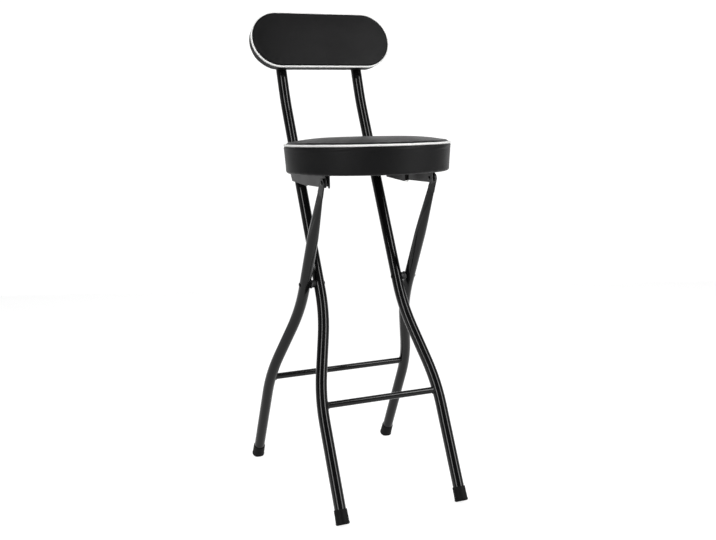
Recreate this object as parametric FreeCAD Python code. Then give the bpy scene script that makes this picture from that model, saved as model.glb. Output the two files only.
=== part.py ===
import FreeCAD, Part
import math
import os

V = FreeCAD.Vector

# Folding bar stool, in millimetres. +Z is up, the sitter faces -Y and X runs across the stool.
# The origin is on the floor, under the middle of the stool's box.

# Round tube of the two leg frames and of the two footrest bars
TUBE_D = 22.0
TUBE_WALL = 1.2
BAR_D = 12.7
BAR_WALL = 1.0
WELD_GAP = 0.1  # between a coped bar end and its leg
BEND_R = 400.0  # middle line of every bend

# Side view of the two leg frames, which cross like scissors
STANCE = 427.45  # front foot to rear foot, where the tube lines meet the floor
FRONT_LEAN = 25.42  # degrees from upright
REAR_LEAN = 28.67
BACK_LEAN = 18.0  # front frame above its upper bend
BACK_BEND_Z = 776.0
BACK_TUBE_LENGTH = 168.0  # from the upper bend to the tube's top end

# Front view: straight above, drawn outwards through an S bend, and straight again below
FRONT_HALF_SPACING = 84.4
FRONT_FLARE = 39.3
REAR_FLARE = 42.6
FLARE_TOP_Z = 363.5
FLARE_BOTTOM_Z = 216.0
SPACER_LENGTH = 7.5
PLUG_DEPTH = 11.0
PLUG_DOME = 3.0
FRONT_BAR_Z = 201.5
REAR_BAR_Z = 207.7

# Rubber feet
FOOT_R = 13.2
FOOT_RIM_R = 12.4
FOOT_LENGTH = 28.0
FOOT_BASE = 4.2
FOOT_EDGE_R = 3.0
FOOT_STEP = 0.5
FOOT_LIP_R = 0.8
FOOT_FLAT_DEPTH = 2.0  # how far the lowest corner is worn flat

# Pivots and their clearances
PIVOT_R = 3.0
PIVOT_PLAY = 0.1
HEAD_R = 4.5
HEAD_HEIGHT = 1.4
SPACER_R = 6.5
CLEARANCE = 0.3

# Round seat
SEAT_UNDERSIDE_Z = 637.0
SEAT_PIVOT_DROP = 15.0  # pivots below the underside
SEAT_SETBACK = 55.1  # seat centre behind its pivots
SEAT_DEPTH = 52.7  # underside to the piping's middle line
SEAT_R = 155.2
SEAT_DRAW_IN = 1.0  # how far the side is drawn in between its edges
SEAT_EDGE_R = 8.0
SEAT_CROWN = 13.0
SEAT_CROWN_SAG = 4.2
SEAT_CROWN_ROLL = 34.0  # width of the rolled edge of the crown
SEAT_BOARD = 12.0
VINYL = 1.2
HEM = 14.0  # vinyl turned in under the board
PIPING_RISE = 1.5  # rim of the crown above the piping's middle line
PIPING_R = 2.5
SEAT_STAND_OFF = 1.5  # piping's middle line outside the side wall

# Backrest, measured in its own plane, which lies along the upper tubes
BACK_WIDTH = 307.5
BACK_HEIGHT = 120.0
BACK_DEPTH = 25.0  # tubes to the piping's middle line
BACK_DRAW_IN = 0.5
BACK_CROWN = 6.5
BACK_CROWN_SAG = 2.2
BACK_CROWN_ROLL = 17.0
BACK_BOARD = 9.0
BACK_EDGE_R = 4.0
BACK_STAND_OFF = 0.5  # piping's middle line outside the side wall
BACK_TUBE_TOP = 48.5  # tube's top end above the backrest's middle
BACK_SCREW_STEP = 52.0
BACK_SCREW_R = 3.0
BACK_SCREW_HEAD_R = 6.0
BACK_SCREW_HEAD = 3.0
NUT_R = 4.2
NUT_BARREL = 7.2
NUT_FLANGE_R = 9.0
NUT_FLANGE = 1.2

# Channel brackets under the seat
SHEET = 1.5
CHANNEL_WIDTH = 7.8
CHANNEL_REACH = 173.0  # pivot to the outer flange's lower rear corner
CHANNEL_STRAIGHT = 112.0  # pivot to where the outer flange's lower edge starts to rise
CHANNEL_REAR_LEAN = 6.0  # how far the rear ends of the flanges lean back
OUTER_DEPTH = 23.5
OUTER_END_DEPTH = 17.5
OUTER_BOW = 1.8  # rise of the outer flange's lower edge halfway to its rear end
INNER_DEPTH = 21.2
INNER_STEP = 103.0  # pivot to where the inner flange steps down
INNER_STEP_RUN = 6.0
INNER_STEP_DEPTH = 26.3
INNER_REACH = 194.0  # pivot to the inner flange's lower rear corner
INNER_END_DEPTH = 21.0
NOSE_R = 12.0
NOSE_LUG = 3.5  # how far the inner flange's lug hangs under its lower edge
NOSE_LUG_LENGTH = 7.0
WASHER_R = 8.0
WASHER = 0.8
TAB_REACH = 21.3
TAB_HALF_WIDTH = 9.0
TAB_FRONT = 27.0  # pivot to the middle of the front tab
TAB_PITCH = 45.0

# Flat upper end of each rear leg, outside its bracket
TONGUE_HALF_WIDTH = 11.5
TONGUE_END_R = 9.0
TONGUE_THICKNESS = 3.0
TONGUE_BULGE = 0.04  # bow of a flat face, as a share of half its thickness
TONGUE_LENGTH = 26.0  # pivot down to the end of the crimped length
CRIMP_LENGTH = 100.0
CRIMP_EASE = 1.2
SEAT_HEAD_R = 4.6
SEAT_HEAD_HEIGHT = 1.8

# Hook at the rear of each bracket and the pin that carries it
HOOK_PIN_RISE = 6.0  # pin above the seat's underside
HOOK_PIN_R = 3.5
HOOK_SHOULDER_R = 6.0
HOOK_WALL = 4.5
HOOK_JAW = 9.5
HOOK_LEAVE_LEAN = 26.0  # degrees from straight down, the way that the pin leaves the hook
HOOK_MOUTH = 28.0
HOOK_MOUTH_WIDEN = 1.5

# Rubber buffers and fixings under the seat
BUFFER_R = 3.9
BUFFER_LENGTH = 20.5
BUFFER_BORE_R = 2.0
BUFFER_HEAD = 4.0  # bright domed screw head under each buffer
SCREW_R = 2.2
SCREW_BITE = 10.0
SCREW_HEAD_R = 4.2
SCREW_HEAD = 2.4

# Sizes that follow from the ones above
SEAT_PIVOT_Z = SEAT_UNDERSIDE_Z - SEAT_PIVOT_DROP
HOOK_PIN_Z = SEAT_UNDERSIDE_Z + HOOK_PIN_RISE
TUBE_R = TUBE_D / 2
BORE_R = TUBE_R - TUBE_WALL
FRONT_SLOPE = math.tan(math.radians(FRONT_LEAN))
REAR_SLOPE = math.tan(math.radians(REAR_LEAN))
BACK_SLOPE = math.tan(math.radians(BACK_LEAN))
REAR_HALF_SPACING = FRONT_HALF_SPACING + TUBE_D + SPACER_LENGTH
TONGUE_INNER_X = REAR_HALF_SPACING - TONGUE_THICKNESS / 2
TONGUE_OUTER_X = REAR_HALF_SPACING + TONGUE_THICKNESS / 2
CHANNEL_OUTER_X = TONGUE_INNER_X - WASHER - CLEARANCE
CHANNEL_INNER_X = CHANNEL_OUTER_X - CHANNEL_WIDTH
PIPING_LOOP_R = SEAT_R + SEAT_STAND_OFF
DIAGONAL = math.sqrt(0.5)


def foot_end(lean):
    """How far up its tube line a foot starts, so that its lowest corner dips under the floor."""
    side, up = math.sin(math.radians(lean)), math.cos(math.radians(lean))
    corner = (FOOT_R - FOOT_EDGE_R) * side + FOOT_EDGE_R - FOOT_EDGE_R * up
    return (corner - FOOT_FLAT_DEPTH) / up


def foot_reach(lean):
    """How far a foot sticks out past the point where its tube line meets the floor."""
    side, up = math.sin(math.radians(lean)), math.cos(math.radians(lean))
    return (FOOT_R - FOOT_EDGE_R) * up + FOOT_EDGE_R - (foot_end(lean) + FOOT_EDGE_R) * side


# Places along Y, worked out from the front foot and then centred on the stool's box
SEAT_Y_FROM_FRONT = STANCE - SEAT_PIVOT_Z * REAR_SLOPE + SEAT_SETBACK
FRONT_REACH = max(foot_reach(FRONT_LEAN), PIPING_LOOP_R + PIPING_R - SEAT_Y_FROM_FRONT)
FRONT_Y = (FRONT_REACH - STANCE - foot_reach(REAR_LEAN)) / 2
REAR_Y = FRONT_Y + STANCE
SEAT_Y = FRONT_Y + SEAT_Y_FROM_FRONT

FOLD_PIVOT_Z = STANCE / (FRONT_SLOPE + REAR_SLOPE)


def front_line(x, z):
    """A point on the middle line of a front leg, below its upper bend."""
    return V(x, FRONT_Y + FRONT_SLOPE * z, z)


def rear_line(x, z):
    """A point on the middle line of a rear leg."""
    return V(x, REAR_Y - REAR_SLOPE * z, z)


FOLD_PIVOT = front_line(0, FOLD_PIVOT_Z)
SEAT_PIVOT = rear_line(0, SEAT_PIVOT_Z)
HOOK_PIN = front_line(0, HOOK_PIN_Z)
FRONT_AXIS = V(0, FRONT_SLOPE, 1).normalize()
REAR_AXIS = V(0, -REAR_SLOPE, 1).normalize()
BACK_AXIS = V(0, BACK_SLOPE, 1).normalize()
BACK_FRONT = V(1, 0, 0).cross(BACK_AXIS)
ACROSS = V(1, 0, 0)


def fuse(solids):
    """Join touching solids into one and merge the faces that lie on one surface."""
    joined = solids[0].multiFuse(solids[1:]).removeSplitter()
    return joined.Solids[0]


def both_sides(shape):
    """The shape and its mirror image on the other side of the stool."""
    return [shape, shape.mirror(V(0, 0, 0), ACROSS)]


def rod(start, end, radius, bore=0.0):
    """A round bar from start to end, or a tube where a bore is given."""
    along = end - start
    solid = Part.makeCylinder(radius, along.Length, start, along)
    if bore:
        solid = solid.cut(Part.makeCylinder(bore, along.Length, start, along))
    return solid


def ring_face(at, along, outer_r, inner_r):
    """A flat ring, or a disc where the inner radius is zero, with its seam clear of every hole."""
    side = along.cross(ACROSS).normalize()
    rims = []
    for radius in (outer_r, inner_r):
        if radius > 0:
            rim = Part.Circle(at, along, radius)
            rim.XAxis = (side + side.cross(along)).normalize()
            rims.append(Part.Wire(Part.Edge(rim)))
    return Part.makeFace(rims, "Part::FaceMakerBullseye")


def bent_tube(points, outer_r, inner_r=0.0):
    """Straight runs joined by tangent arcs, as one solid."""
    solids, start = [], points[0]
    for before, corner, after in zip(points, points[1:], points[2:]):
        way_in, way_out = (corner - before).normalize(), (after - corner).normalize()
        turn = way_in.getAngle(way_out)
        setback = BEND_R * math.tan(turn / 2)
        bend_start = corner - way_in * setback
        solids.append(ring_face(start, way_in, outer_r, inner_r).extrude(bend_start - start))
        axle = way_in.cross(way_out).normalize()
        centre = bend_start + axle.cross(way_in) * BEND_R
        bend = ring_face(bend_start, way_in, outer_r, inner_r)
        solids.append(bend.revolve(centre, axle, math.degrees(turn)))
        start = corner + way_out * setback
    solids.append(ring_face(start, way_out, outer_r, inner_r).extrude(points[-1] - start))
    return fuse(solids)


def outline(points, place):
    """A closed face from plane points. A pair of points in the list is an arc: its middle and end."""
    edges, at = [], points[0]
    for step in points[1:] + points[:1]:
        is_arc = isinstance(step[0], tuple)
        end = step[1] if is_arc else step
        if is_arc:
            edges.append(Part.Arc(place(*at), place(*step[0]), place(*end)).toShape())
        elif math.dist(at, end) > 1e-6:
            edges.append(Part.LineSegment(place(*at), place(*end)).toShape())
        at = end
    return Part.Face(Part.Wire(edges))


def corner_arc(corner_point, radius, start_way, end_way):
    """A quarter round inside a square corner: its start, and its middle with its end."""
    (cx, cy), (sx, sy), (ex, ey) = corner_point, start_way, end_way
    centre = (cx - sx * radius + ex * radius, cy - sy * radius + ey * radius)
    reach = radius * DIAGONAL
    middle = (centre[0] + (sx - ex) * reach, centre[1] + (sy - ey) * reach)
    start = (cx - sx * radius, cy - sy * radius)
    return [start, (middle, (cx + ex * radius, cy + ey * radius))]


def turned(points, base, axis):
    """A solid of revolution from an outline of (radius, height) points."""
    face = outline(points, lambda r, h: V(r, 0, h))
    solid = face.revolve(V(0, 0, 0), V(0, 0, 1), 360)
    solid.Placement = FreeCAD.Placement(base, FreeCAD.Rotation(V(0, 0, 1), axis))
    return solid


def plate(points, x_from, x_to):
    """A flat plate from an outline of (y, z) points, lying between two places across the stool."""
    return outline(points, lambda y, z: V(x_from, y, z)).extrude(V(x_to - x_from, 0, 0))


def cap_middle(radius, height):
    """The middle of the arc of a round cap, from its rim at height zero to its top."""
    arc_r = (radius ** 2 + height ** 2) / (2 * height)
    half_turn = math.atan(height / radius)
    return (arc_r * math.sin(half_turn), height - arc_r * (1 - math.cos(half_turn)))


def domed_head(base, axis, radius, height):
    """A low round rivet or screw head that stands on its base point."""
    return turned([(0, 0), (radius, 0), (cap_middle(radius, height), (0, height))], base, axis)


def flared_path(line, half_spacing, flare, start_z):
    """Corner points of a leg from its foot up to above the S bend."""
    return [
        line(half_spacing + flare, start_z),
        line(half_spacing + flare, FLARE_BOTTOM_Z),
        line(half_spacing, FLARE_TOP_Z),
    ]


def front_leg_path():
    """Corner points of the right front leg, which runs up to the backrest."""
    up = math.cos(math.radians(FRONT_LEAN))
    start_z = (foot_end(FRONT_LEAN) + FOOT_BASE) * up
    path = flared_path(front_line, FRONT_HALF_SPACING, FRONT_FLARE, start_z)
    bend = front_line(FRONT_HALF_SPACING, BACK_BEND_Z)
    return path + [bend, bend + BACK_AXIS * BACK_TUBE_LENGTH]


def rear_leg_path():
    """Corner points of the right rear leg, up to where its crimp begins."""
    up = math.cos(math.radians(REAR_LEAN))
    start_z = (foot_end(REAR_LEAN) + FOOT_BASE) * up
    path = flared_path(rear_line, REAR_HALF_SPACING, REAR_FLARE, start_z)
    crimp_start = SEAT_PIVOT - REAR_AXIS * (TONGUE_LENGTH + CRIMP_LENGTH)
    return path + [V(REAR_HALF_SPACING, crimp_start.y, crimp_start.z)]


def back_screw_places():
    """Points on the middle line of the right upper tube where the backrest is screwed on."""
    middle = back_origin()
    steps = (-BACK_SCREW_STEP / 2, BACK_SCREW_STEP / 2)
    return [V(FRONT_HALF_SPACING, 0, 0) + middle + BACK_AXIS * step for step in steps]


def back_origin():
    """The backrest's middle, on the plane through the upper tubes' middle lines."""
    return front_line(0, BACK_BEND_Z) + BACK_AXIS * (BACK_TUBE_LENGTH - BACK_TUBE_TOP)


def front_leg():
    """Right front leg: a bent tube drilled for the pivot, the hook pin and the backrest screws."""
    tube = bent_tube(front_leg_path(), TUBE_R, BORE_R)
    inner_x, outer_x = FRONT_HALF_SPACING - TUBE_D, FRONT_HALF_SPACING + TUBE_D
    pivot_hole = rod(front_line(inner_x, FOLD_PIVOT_Z), front_line(outer_x, FOLD_PIVOT_Z), PIVOT_R)
    pin_hole = rod(front_line(inner_x, HOOK_PIN_Z), front_line(outer_x, HOOK_PIN_Z), HOOK_PIN_R)
    holes = [pivot_hole, pin_hole]
    for at in back_screw_places():
        holes.append(rod(at - BACK_FRONT * TUBE_D, at + BACK_FRONT * TUBE_D, BACK_SCREW_R))
    return tube.cut(holes)


def crimp_section(along, flatness, inset):
    """One section of the crimped tube end, from round at 0 to flat at 1, inset by a wall."""
    width_way = V(0, REAR_AXIS.z, -REAR_AXIS.y)
    round_r = TUBE_R - inset
    flat_t = TONGUE_THICKNESS / 2 - inset
    flat_w = TONGUE_HALF_WIDTH - inset
    side = flat_w - flat_t
    reach = flat_t * DIAGONAL
    crest = flat_t * (1 + TONGUE_BULGE)
    quarter = [(flat_w, 0), (side + reach, reach), (side, flat_t), (0, crest)]
    flat = quarter + [(-w, t) for w, t in quarter[2::-1]]
    flat += [(-w, -t) for w, t in flat[1:6]]
    at = SEAT_PIVOT - REAR_AXIS * (TONGUE_LENGTH + CRIMP_LENGTH * (1 - along))
    points = []
    for index, (flat_width, flat_thick) in enumerate(flat):
        angle = math.radians(30 * index)
        width = round_r * math.cos(angle) * (1 - flatness) + flat_width * flatness
        thick = round_r * math.sin(angle) * (1 - flatness) + flat_thick * flatness
        points.append(at + width_way * width + V(REAR_HALF_SPACING + thick, 0, 0))
    points.append(points[0])
    arcs = [Part.Arc(*points[i:i + 3]).toShape() for i in range(0, 12, 2)]
    return Part.Wire(arcs)


def crimp(inset):
    """The length in which the round tube is pressed flat, as a solid inset by a wall."""
    steps = (0.0, 0.2, 0.4, 0.6, 0.8, 1.0)
    eased = [step ** CRIMP_EASE for step in steps]
    sections = [crimp_section(step, flat, inset) for step, flat in zip(steps, eased)]
    return Part.makeLoft(sections, True, True)


def tongue():
    """The flat end of the rear leg, rounded about the seat pivot."""
    width_way = V(0, REAR_AXIS.z, -REAR_AXIS.y)
    foot_half, end_half = width_way * TONGUE_HALF_WIDTH, width_way * TONGUE_END_R
    foot = SEAT_PIVOT - REAR_AXIS * TONGUE_LENGTH
    corners = [foot - foot_half, foot + foot_half, SEAT_PIVOT + end_half, SEAT_PIVOT - end_half]
    strip = plate([(c.y, c.z) for c in corners], TONGUE_INNER_X, TONGUE_OUTER_X)
    centre = SEAT_PIVOT + V(TONGUE_INNER_X, 0, 0)
    end = Part.makeCylinder(TONGUE_END_R, TONGUE_THICKNESS, centre, ACROSS)
    return fuse([strip, end])


def rear_leg():
    """Right rear leg: a bent tube with a crimped, flat upper end, drilled for both pivots."""
    tube = bent_tube(rear_leg_path(), TUBE_R, BORE_R)
    pressed = crimp(0.0).cut(crimp(TUBE_WALL))
    leg = fuse([tube, pressed, tongue()])
    hole_r = PIVOT_R + PIVOT_PLAY
    far_x = REAR_HALF_SPACING + TUBE_D
    seat_hole = rod(SEAT_PIVOT, SEAT_PIVOT + V(far_x, 0, 0), hole_r)
    fold_hole = rod(FOLD_PIVOT, FOLD_PIVOT + V(far_x, 0, 0), hole_r)
    return leg.cut([seat_hole, fold_hole])


def footrest_bar(line, half_spacing, bar_z, leg_path):
    """A cross bar whose ends are shaped to the legs that it is welded to."""
    ends = [line(-half_spacing, bar_z), line(half_spacing, bar_z)]
    bar = rod(ends[0], ends[1], BAR_D / 2, BAR_D / 2 - BAR_WALL)
    legs = both_sides(bent_tube(leg_path, TUBE_R + WELD_GAP))
    return max(bar.cut(legs).Solids, key=lambda solid: solid.Volume)


def foot(line, half_spacing, lean):
    """A rubber ferrule on the end of a leg, cut flat where it stands on the floor."""
    end = foot_end(lean)
    axis = (line(0, 1) - line(0, 0)).normalize()
    base = line(half_spacing, 0) + axis * end
    edge = corner_arc((FOOT_R, 0), FOOT_EDGE_R, (1, 0), (0, 1))
    lip = corner_arc((FOOT_RIM_R, FOOT_LENGTH), FOOT_LIP_R, (0, 1), (-1, 0))
    sleeve_r = FOOT_R - FOOT_STEP
    profile = [(0, 0)] + edge + [(FOOT_R, FOOT_BASE), (sleeve_r, FOOT_BASE + FOOT_STEP)] + lip
    profile += [(TUBE_R, FOOT_LENGTH), (TUBE_R, FOOT_BASE), (0, FOOT_BASE)]
    ferrule = turned(profile, base, axis)
    span = 2 * FOOT_LENGTH
    floor = Part.makeBox(span, span, span, base - V(span / 2, span / 2, span + base.z))
    return ferrule.cut(floor)


def end_plug():
    """A plastic plug in the top end of the right front leg."""
    top = front_leg_path()[-1]
    stem = rod(top - BACK_AXIS * PLUG_DEPTH, top, BORE_R)
    return fuse([stem, domed_head(top, BACK_AXIS, TUBE_R, PLUG_DOME)])


def fold_rivet():
    """The rivet that carries both right legs, headed against the outside of each."""
    inner_x, outer_x = FRONT_HALF_SPACING - TUBE_R, REAR_HALF_SPACING + TUBE_R + CLEARANCE
    inner, outer = FOLD_PIVOT + V(inner_x, 0, 0), FOLD_PIVOT + V(outer_x, 0, 0)
    return fuse([
        rod(inner, outer, PIVOT_R),
        domed_head(inner, -ACROSS, HEAD_R, HEAD_HEIGHT),
        domed_head(outer, ACROSS, HEAD_R, HEAD_HEIGHT),
    ])


def fold_spacer():
    """The bush between the right legs, saddled onto the front leg."""
    start = FOLD_PIVOT + V(FRONT_HALF_SPACING, 0, 0)
    end = FOLD_PIVOT + V(REAR_HALF_SPACING - TUBE_R - CLEARANCE, 0, 0)
    leg = rod(start - FRONT_AXIS * TUBE_D, start + FRONT_AXIS * TUBE_D, TUBE_R)
    return rod(start, end, SPACER_R, PIVOT_R).cut(leg)


def hook_pin():
    """The shouldered stud on the right front leg that the seat's hook drops over."""
    inner = HOOK_PIN + V(FRONT_HALF_SPACING - TUBE_R, 0, 0)
    shoulder = HOOK_PIN + V(CHANNEL_INNER_X - CLEARANCE, 0, 0)
    tip = HOOK_PIN + V(CHANNEL_INNER_X + SHEET + CLEARANCE, 0, 0)
    middle = HOOK_PIN + V(FRONT_HALF_SPACING, 0, 0)
    leg = rod(middle - FRONT_AXIS * TUBE_D, middle + FRONT_AXIS * TUBE_D, TUBE_R)
    collar = rod(middle, shoulder, HOOK_SHOULDER_R).cut(leg)
    head = domed_head(inner, -ACROSS, HOOK_SHOULDER_R, HEAD_HEIGHT)
    return fuse([rod(inner, tip, HOOK_PIN_R), collar, head])


def crown_steps(top, rim, roll, sag):
    """A crowned top from its rim to its middle: a rolled edge arc, then a long shallow arc."""
    joint_r = rim[0] - roll
    arc_r = (joint_r ** 2 + sag ** 2) / (2 * sag)
    joint = (joint_r, top - sag)
    normal = (joint_r / arc_r, (arc_r - sag) / arc_r)
    span = (rim[0] - joint[0], rim[1] - joint[1])
    roll_r = -(span[0] ** 2 + span[1] ** 2) / (2 * (span[0] * normal[0] + span[1] * normal[1]))
    centre = (joint[0] - roll_r * normal[0], joint[1] - roll_r * normal[1])
    chord = ((rim[0] + joint[0]) / 2 - centre[0], (rim[1] + joint[1]) / 2 - centre[1])
    reach = roll_r / math.hypot(*chord)
    roll_middle = (centre[0] + chord[0] * reach, centre[1] + chord[1] * reach)
    cap_r, cap_height = cap_middle(joint_r, sag)
    return [(roll_middle, joint), ((cap_r, top - sag + cap_height), (0, top))]


class Pad:
    """Half sections of an upholstered pad, as (radius, height) outlines over its board side."""

    def __init__(self, half, depth, edge_r, draw_in, stand_off, crown, sag, roll):
        self.half = half
        self.depth = depth
        self.edge_r = edge_r
        self.draw_in = draw_in
        self.crown = crown
        self.sag = sag
        self.roll = roll
        self.stand_off = stand_off
        self.hem_r = half - edge_r - HEM
        self.loop_r = half + stand_off
        self.wall_top = depth - PIPING_R - CLEARANCE

    def wall(self, inset):
        """The side from its rounded lower edge up to the piping, drawn in on the way."""
        edge_r = self.edge_r - inset
        lower_r, upper_r = self.half + self.draw_in / 2 - inset, self.half + self.draw_in - inset
        edge = corner_arc((lower_r, inset), edge_r, (1, 0), (0, 1))
        waist_h = (self.edge_r + self.wall_top) / 2
        return edge + [((self.half - inset, waist_h), (upper_r, self.wall_top))]

    def top(self, inset):
        """The crowned top from its rim to the middle."""
        rim = (self.loop_r - PIPING_R - CLEARANCE - inset, self.depth + PIPING_RISE - inset)
        return [rim] + crown_steps(self.depth + self.crown - inset, rim, self.roll, self.sag)

    def core(self):
        """Everything inside the vinyl."""
        return [(0, VINYL)] + self.wall(VINYL) + self.top(VINYL)

    def side_band(self):
        """The vinyl side, turned in under the board as a hem."""
        outer, inner = self.wall(0.0), self.wall(VINYL)
        back = [inner[2][1], (inner[2][0], inner[1][1]), (inner[1][0], inner[0])]
        return [(self.hem_r, VINYL), (self.hem_r, 0)] + outer + back

    def top_panel(self):
        """The vinyl over the crown."""
        outer, inner = self.top(0.0), self.top(VINYL)
        (in_rim, (in_roll, in_joint), (in_mid, in_top)) = inner
        return outer + [in_top, (in_mid, in_joint), (in_roll, in_rim)]


SEAT_PAD = Pad(SEAT_R, SEAT_DEPTH, SEAT_EDGE_R, SEAT_DRAW_IN, SEAT_STAND_OFF, SEAT_CROWN,
               SEAT_CROWN_SAG, SEAT_CROWN_ROLL)
BACK_PAD = Pad(BACK_HEIGHT / 2 - BACK_STAND_OFF - PIPING_R, BACK_DEPTH, BACK_EDGE_R,
               BACK_DRAW_IN, BACK_STAND_OFF, BACK_CROWN, BACK_CROWN_SAG, BACK_CROWN_ROLL)
SEAT_BASE = V(0, SEAT_Y, SEAT_UNDERSIDE_Z)


def seat_turned(points):
    """A round seat piece from its half section."""
    return turned(points, SEAT_BASE, V(0, 0, 1))


def seat_screw_places():
    """Points under the right tabs: two bracket screws with a buffer screw between them."""
    x = CHANNEL_INNER_X - TAB_REACH + TAB_HALF_WIDTH
    z = SEAT_UNDERSIDE_Z - SHEET
    return [V(x, SEAT_PIVOT.y + TAB_FRONT + TAB_PITCH * step, z) for step in range(3)]


def tab_screw(at, head_drop):
    """A screw up into the seat board, its head below a tab or below a buffer."""
    base = at - V(0, 0, head_drop)
    tip = at + V(0, 0, SHEET + VINYL + SCREW_BITE)
    return fuse([rod(base, tip, SCREW_R), domed_head(base, V(0, 0, -1), SCREW_HEAD_R, SCREW_HEAD)])


def bracket_screws():
    """The four screws that hold the brackets to the seat board."""
    front, _, rear = seat_screw_places()
    return both_sides(tab_screw(front, 0.0)) + both_sides(tab_screw(rear, 0.0))


def buffer_screw():
    """The right buffer's bright screw, its domed head under the buffer's end."""
    at = seat_screw_places()[1]
    base = at - V(0, 0, BUFFER_LENGTH)
    tip = at + V(0, 0, SHEET + VINYL + SCREW_BITE)
    head = domed_head(base, V(0, 0, -1), BUFFER_R, BUFFER_HEAD)
    return fuse([rod(base, tip, BUFFER_BORE_R), head])


def buffer():
    """A rubber buffer under the seat, which meets the front leg when the stool is folded."""
    top = seat_screw_places()[1]
    foot_point = top - V(0, 0, BUFFER_LENGTH)
    edge = corner_arc((BUFFER_R, 0), FOOT_LIP_R, (1, 0), (0, 1))
    top_end = [(BUFFER_R, BUFFER_LENGTH), (BUFFER_BORE_R, BUFFER_LENGTH)]
    return turned([(BUFFER_BORE_R, 0)] + edge + top_end, foot_point, V(0, 0, 1))


def seat_board():
    """The plywood disc, with a pilot hole for every screw."""
    core = seat_turned(SEAT_PAD.core())
    board_top = SEAT_UNDERSIDE_Z + VINYL + SEAT_BOARD
    slab = Part.makeCylinder(2 * SEAT_R, board_top, V(0, SEAT_Y, 0))
    board = core.common(slab)
    return board.cut(bracket_screws() + both_sides(buffer_screw()))


def seat_foam():
    """The crowned foam above the board."""
    core = seat_turned(SEAT_PAD.core())
    board_top = SEAT_UNDERSIDE_Z + VINYL + SEAT_BOARD
    return core.cut(Part.makeCylinder(2 * SEAT_R, board_top, V(0, SEAT_Y, 0)))


def underside_cloth():
    """The thin cloth disc inside the hem, holed for the screws."""
    disc = Part.makeCylinder(SEAT_PAD.hem_r, VINYL, SEAT_BASE)
    return disc.cut(bracket_screws() + both_sides(buffer_screw()))


def seat_piping():
    """The round cord sewn in between the seat's side and top."""
    centre = SEAT_BASE + V(0, 0, SEAT_DEPTH)
    return Part.makeTorus(PIPING_LOOP_R, PIPING_R, centre)


def in_seat(y_from_pivot, z_from_underside):
    """A side view point given from the seat pivot and the seat's underside."""
    return (SEAT_PIVOT.y + y_from_pivot, SEAT_UNDERSIDE_Z - z_from_underside)


def outer_flange():
    """The outer wall of the right channel: round nose, bowed lower edge, shallow rear end."""
    nose, low = NOSE_R, OUTER_DEPTH
    short = 1 - DIAGONAL
    chin = nose / 2
    bow = in_seat((CHANNEL_STRAIGHT + CHANNEL_REACH) / 2, low - OUTER_BOW)
    points = [
        in_seat(CHANNEL_REACH + CHANNEL_REAR_LEAN, 0),
        in_seat(0, 0),
        (in_seat(-nose * DIAGONAL, nose * short), in_seat(-nose, nose)),
        in_seat(-nose, low - chin),
        (in_seat(chin * short - nose, low - chin * short), in_seat(chin - nose, low)),
        in_seat(CHANNEL_STRAIGHT, low),
        (bow, in_seat(CHANNEL_REACH, OUTER_END_DEPTH)),
    ]
    return plate(points, CHANNEL_OUTER_X - SHEET, CHANNEL_OUTER_X)


def hook_slot():
    """The notch under the hook, open towards the way that the pin leaves it."""
    lean = math.radians(HOOK_LEAVE_LEAN)
    leave = V(0, -math.sin(lean), -math.cos(lean))
    side = V(0, leave.z, -leave.y)
    radius = HOOK_PIN_R + CLEARANCE
    mouth_half = radius + HOOK_MOUTH_WIDEN
    start = HOOK_PIN + V(CHANNEL_INNER_X - SHEET, 0, 0)
    mouth = start + leave * HOOK_MOUTH
    corners = [start - side * radius, start + side * radius,
               mouth + side * mouth_half, mouth - side * mouth_half]
    through = 3 * SHEET
    throat = plate([(c.y, c.z) for c in corners], start.x, start.x + through)
    return fuse([throat, Part.makeCylinder(radius, through, start, ACROSS)])


def inner_flange():
    """The inner wall of the right channel, which runs on behind the seat as the hook."""
    pin_y, pin_z = HOOK_PIN.y, HOOK_PIN.z
    hook_top = pin_z + HOOK_PIN_R + HOOK_WALL
    hook_rear = pin_y + HOOK_PIN_R + HOOK_WALL
    clear_y = SEAT_Y + math.sqrt(PIPING_LOOP_R ** 2 - CHANNEL_INNER_X ** 2) + HOOK_WALL
    rise = hook_top - SEAT_UNDERSIDE_Z
    nose = NOSE_R
    points = [
        (clear_y, SEAT_UNDERSIDE_Z),
        in_seat(-nose, 0),
        in_seat(-nose, INNER_DEPTH),
        (in_seat(-nose + NOSE_LUG_LENGTH / 2, INNER_DEPTH + NOSE_LUG),
         in_seat(-nose + NOSE_LUG_LENGTH, INNER_DEPTH)),
        in_seat(INNER_STEP, INNER_DEPTH),
        in_seat(INNER_STEP + INNER_STEP_RUN, INNER_STEP_DEPTH),
        in_seat(INNER_REACH, INNER_END_DEPTH),
        (in_seat(INNER_REACH + 2 * CHANNEL_REAR_LEAN, 0)[0], pin_z - HOOK_JAW),
        (hook_rear, pin_z - HOOK_JAW),
        (hook_rear, hook_top - HOOK_WALL),
        (hook_rear - HOOK_WALL, hook_top),
        (clear_y + rise, hook_top),
    ]
    whole = plate(points, CHANNEL_INNER_X, CHANNEL_INNER_X + SHEET)
    lip = Part.makeBox(3 * SHEET, HOOK_JAW, HOOK_JAW,
                       V(CHANNEL_INNER_X - SHEET, pin_y, pin_z - HOOK_JAW - HOOK_PIN_R / 2))
    return whole.cut([hook_slot(), lip])


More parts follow.
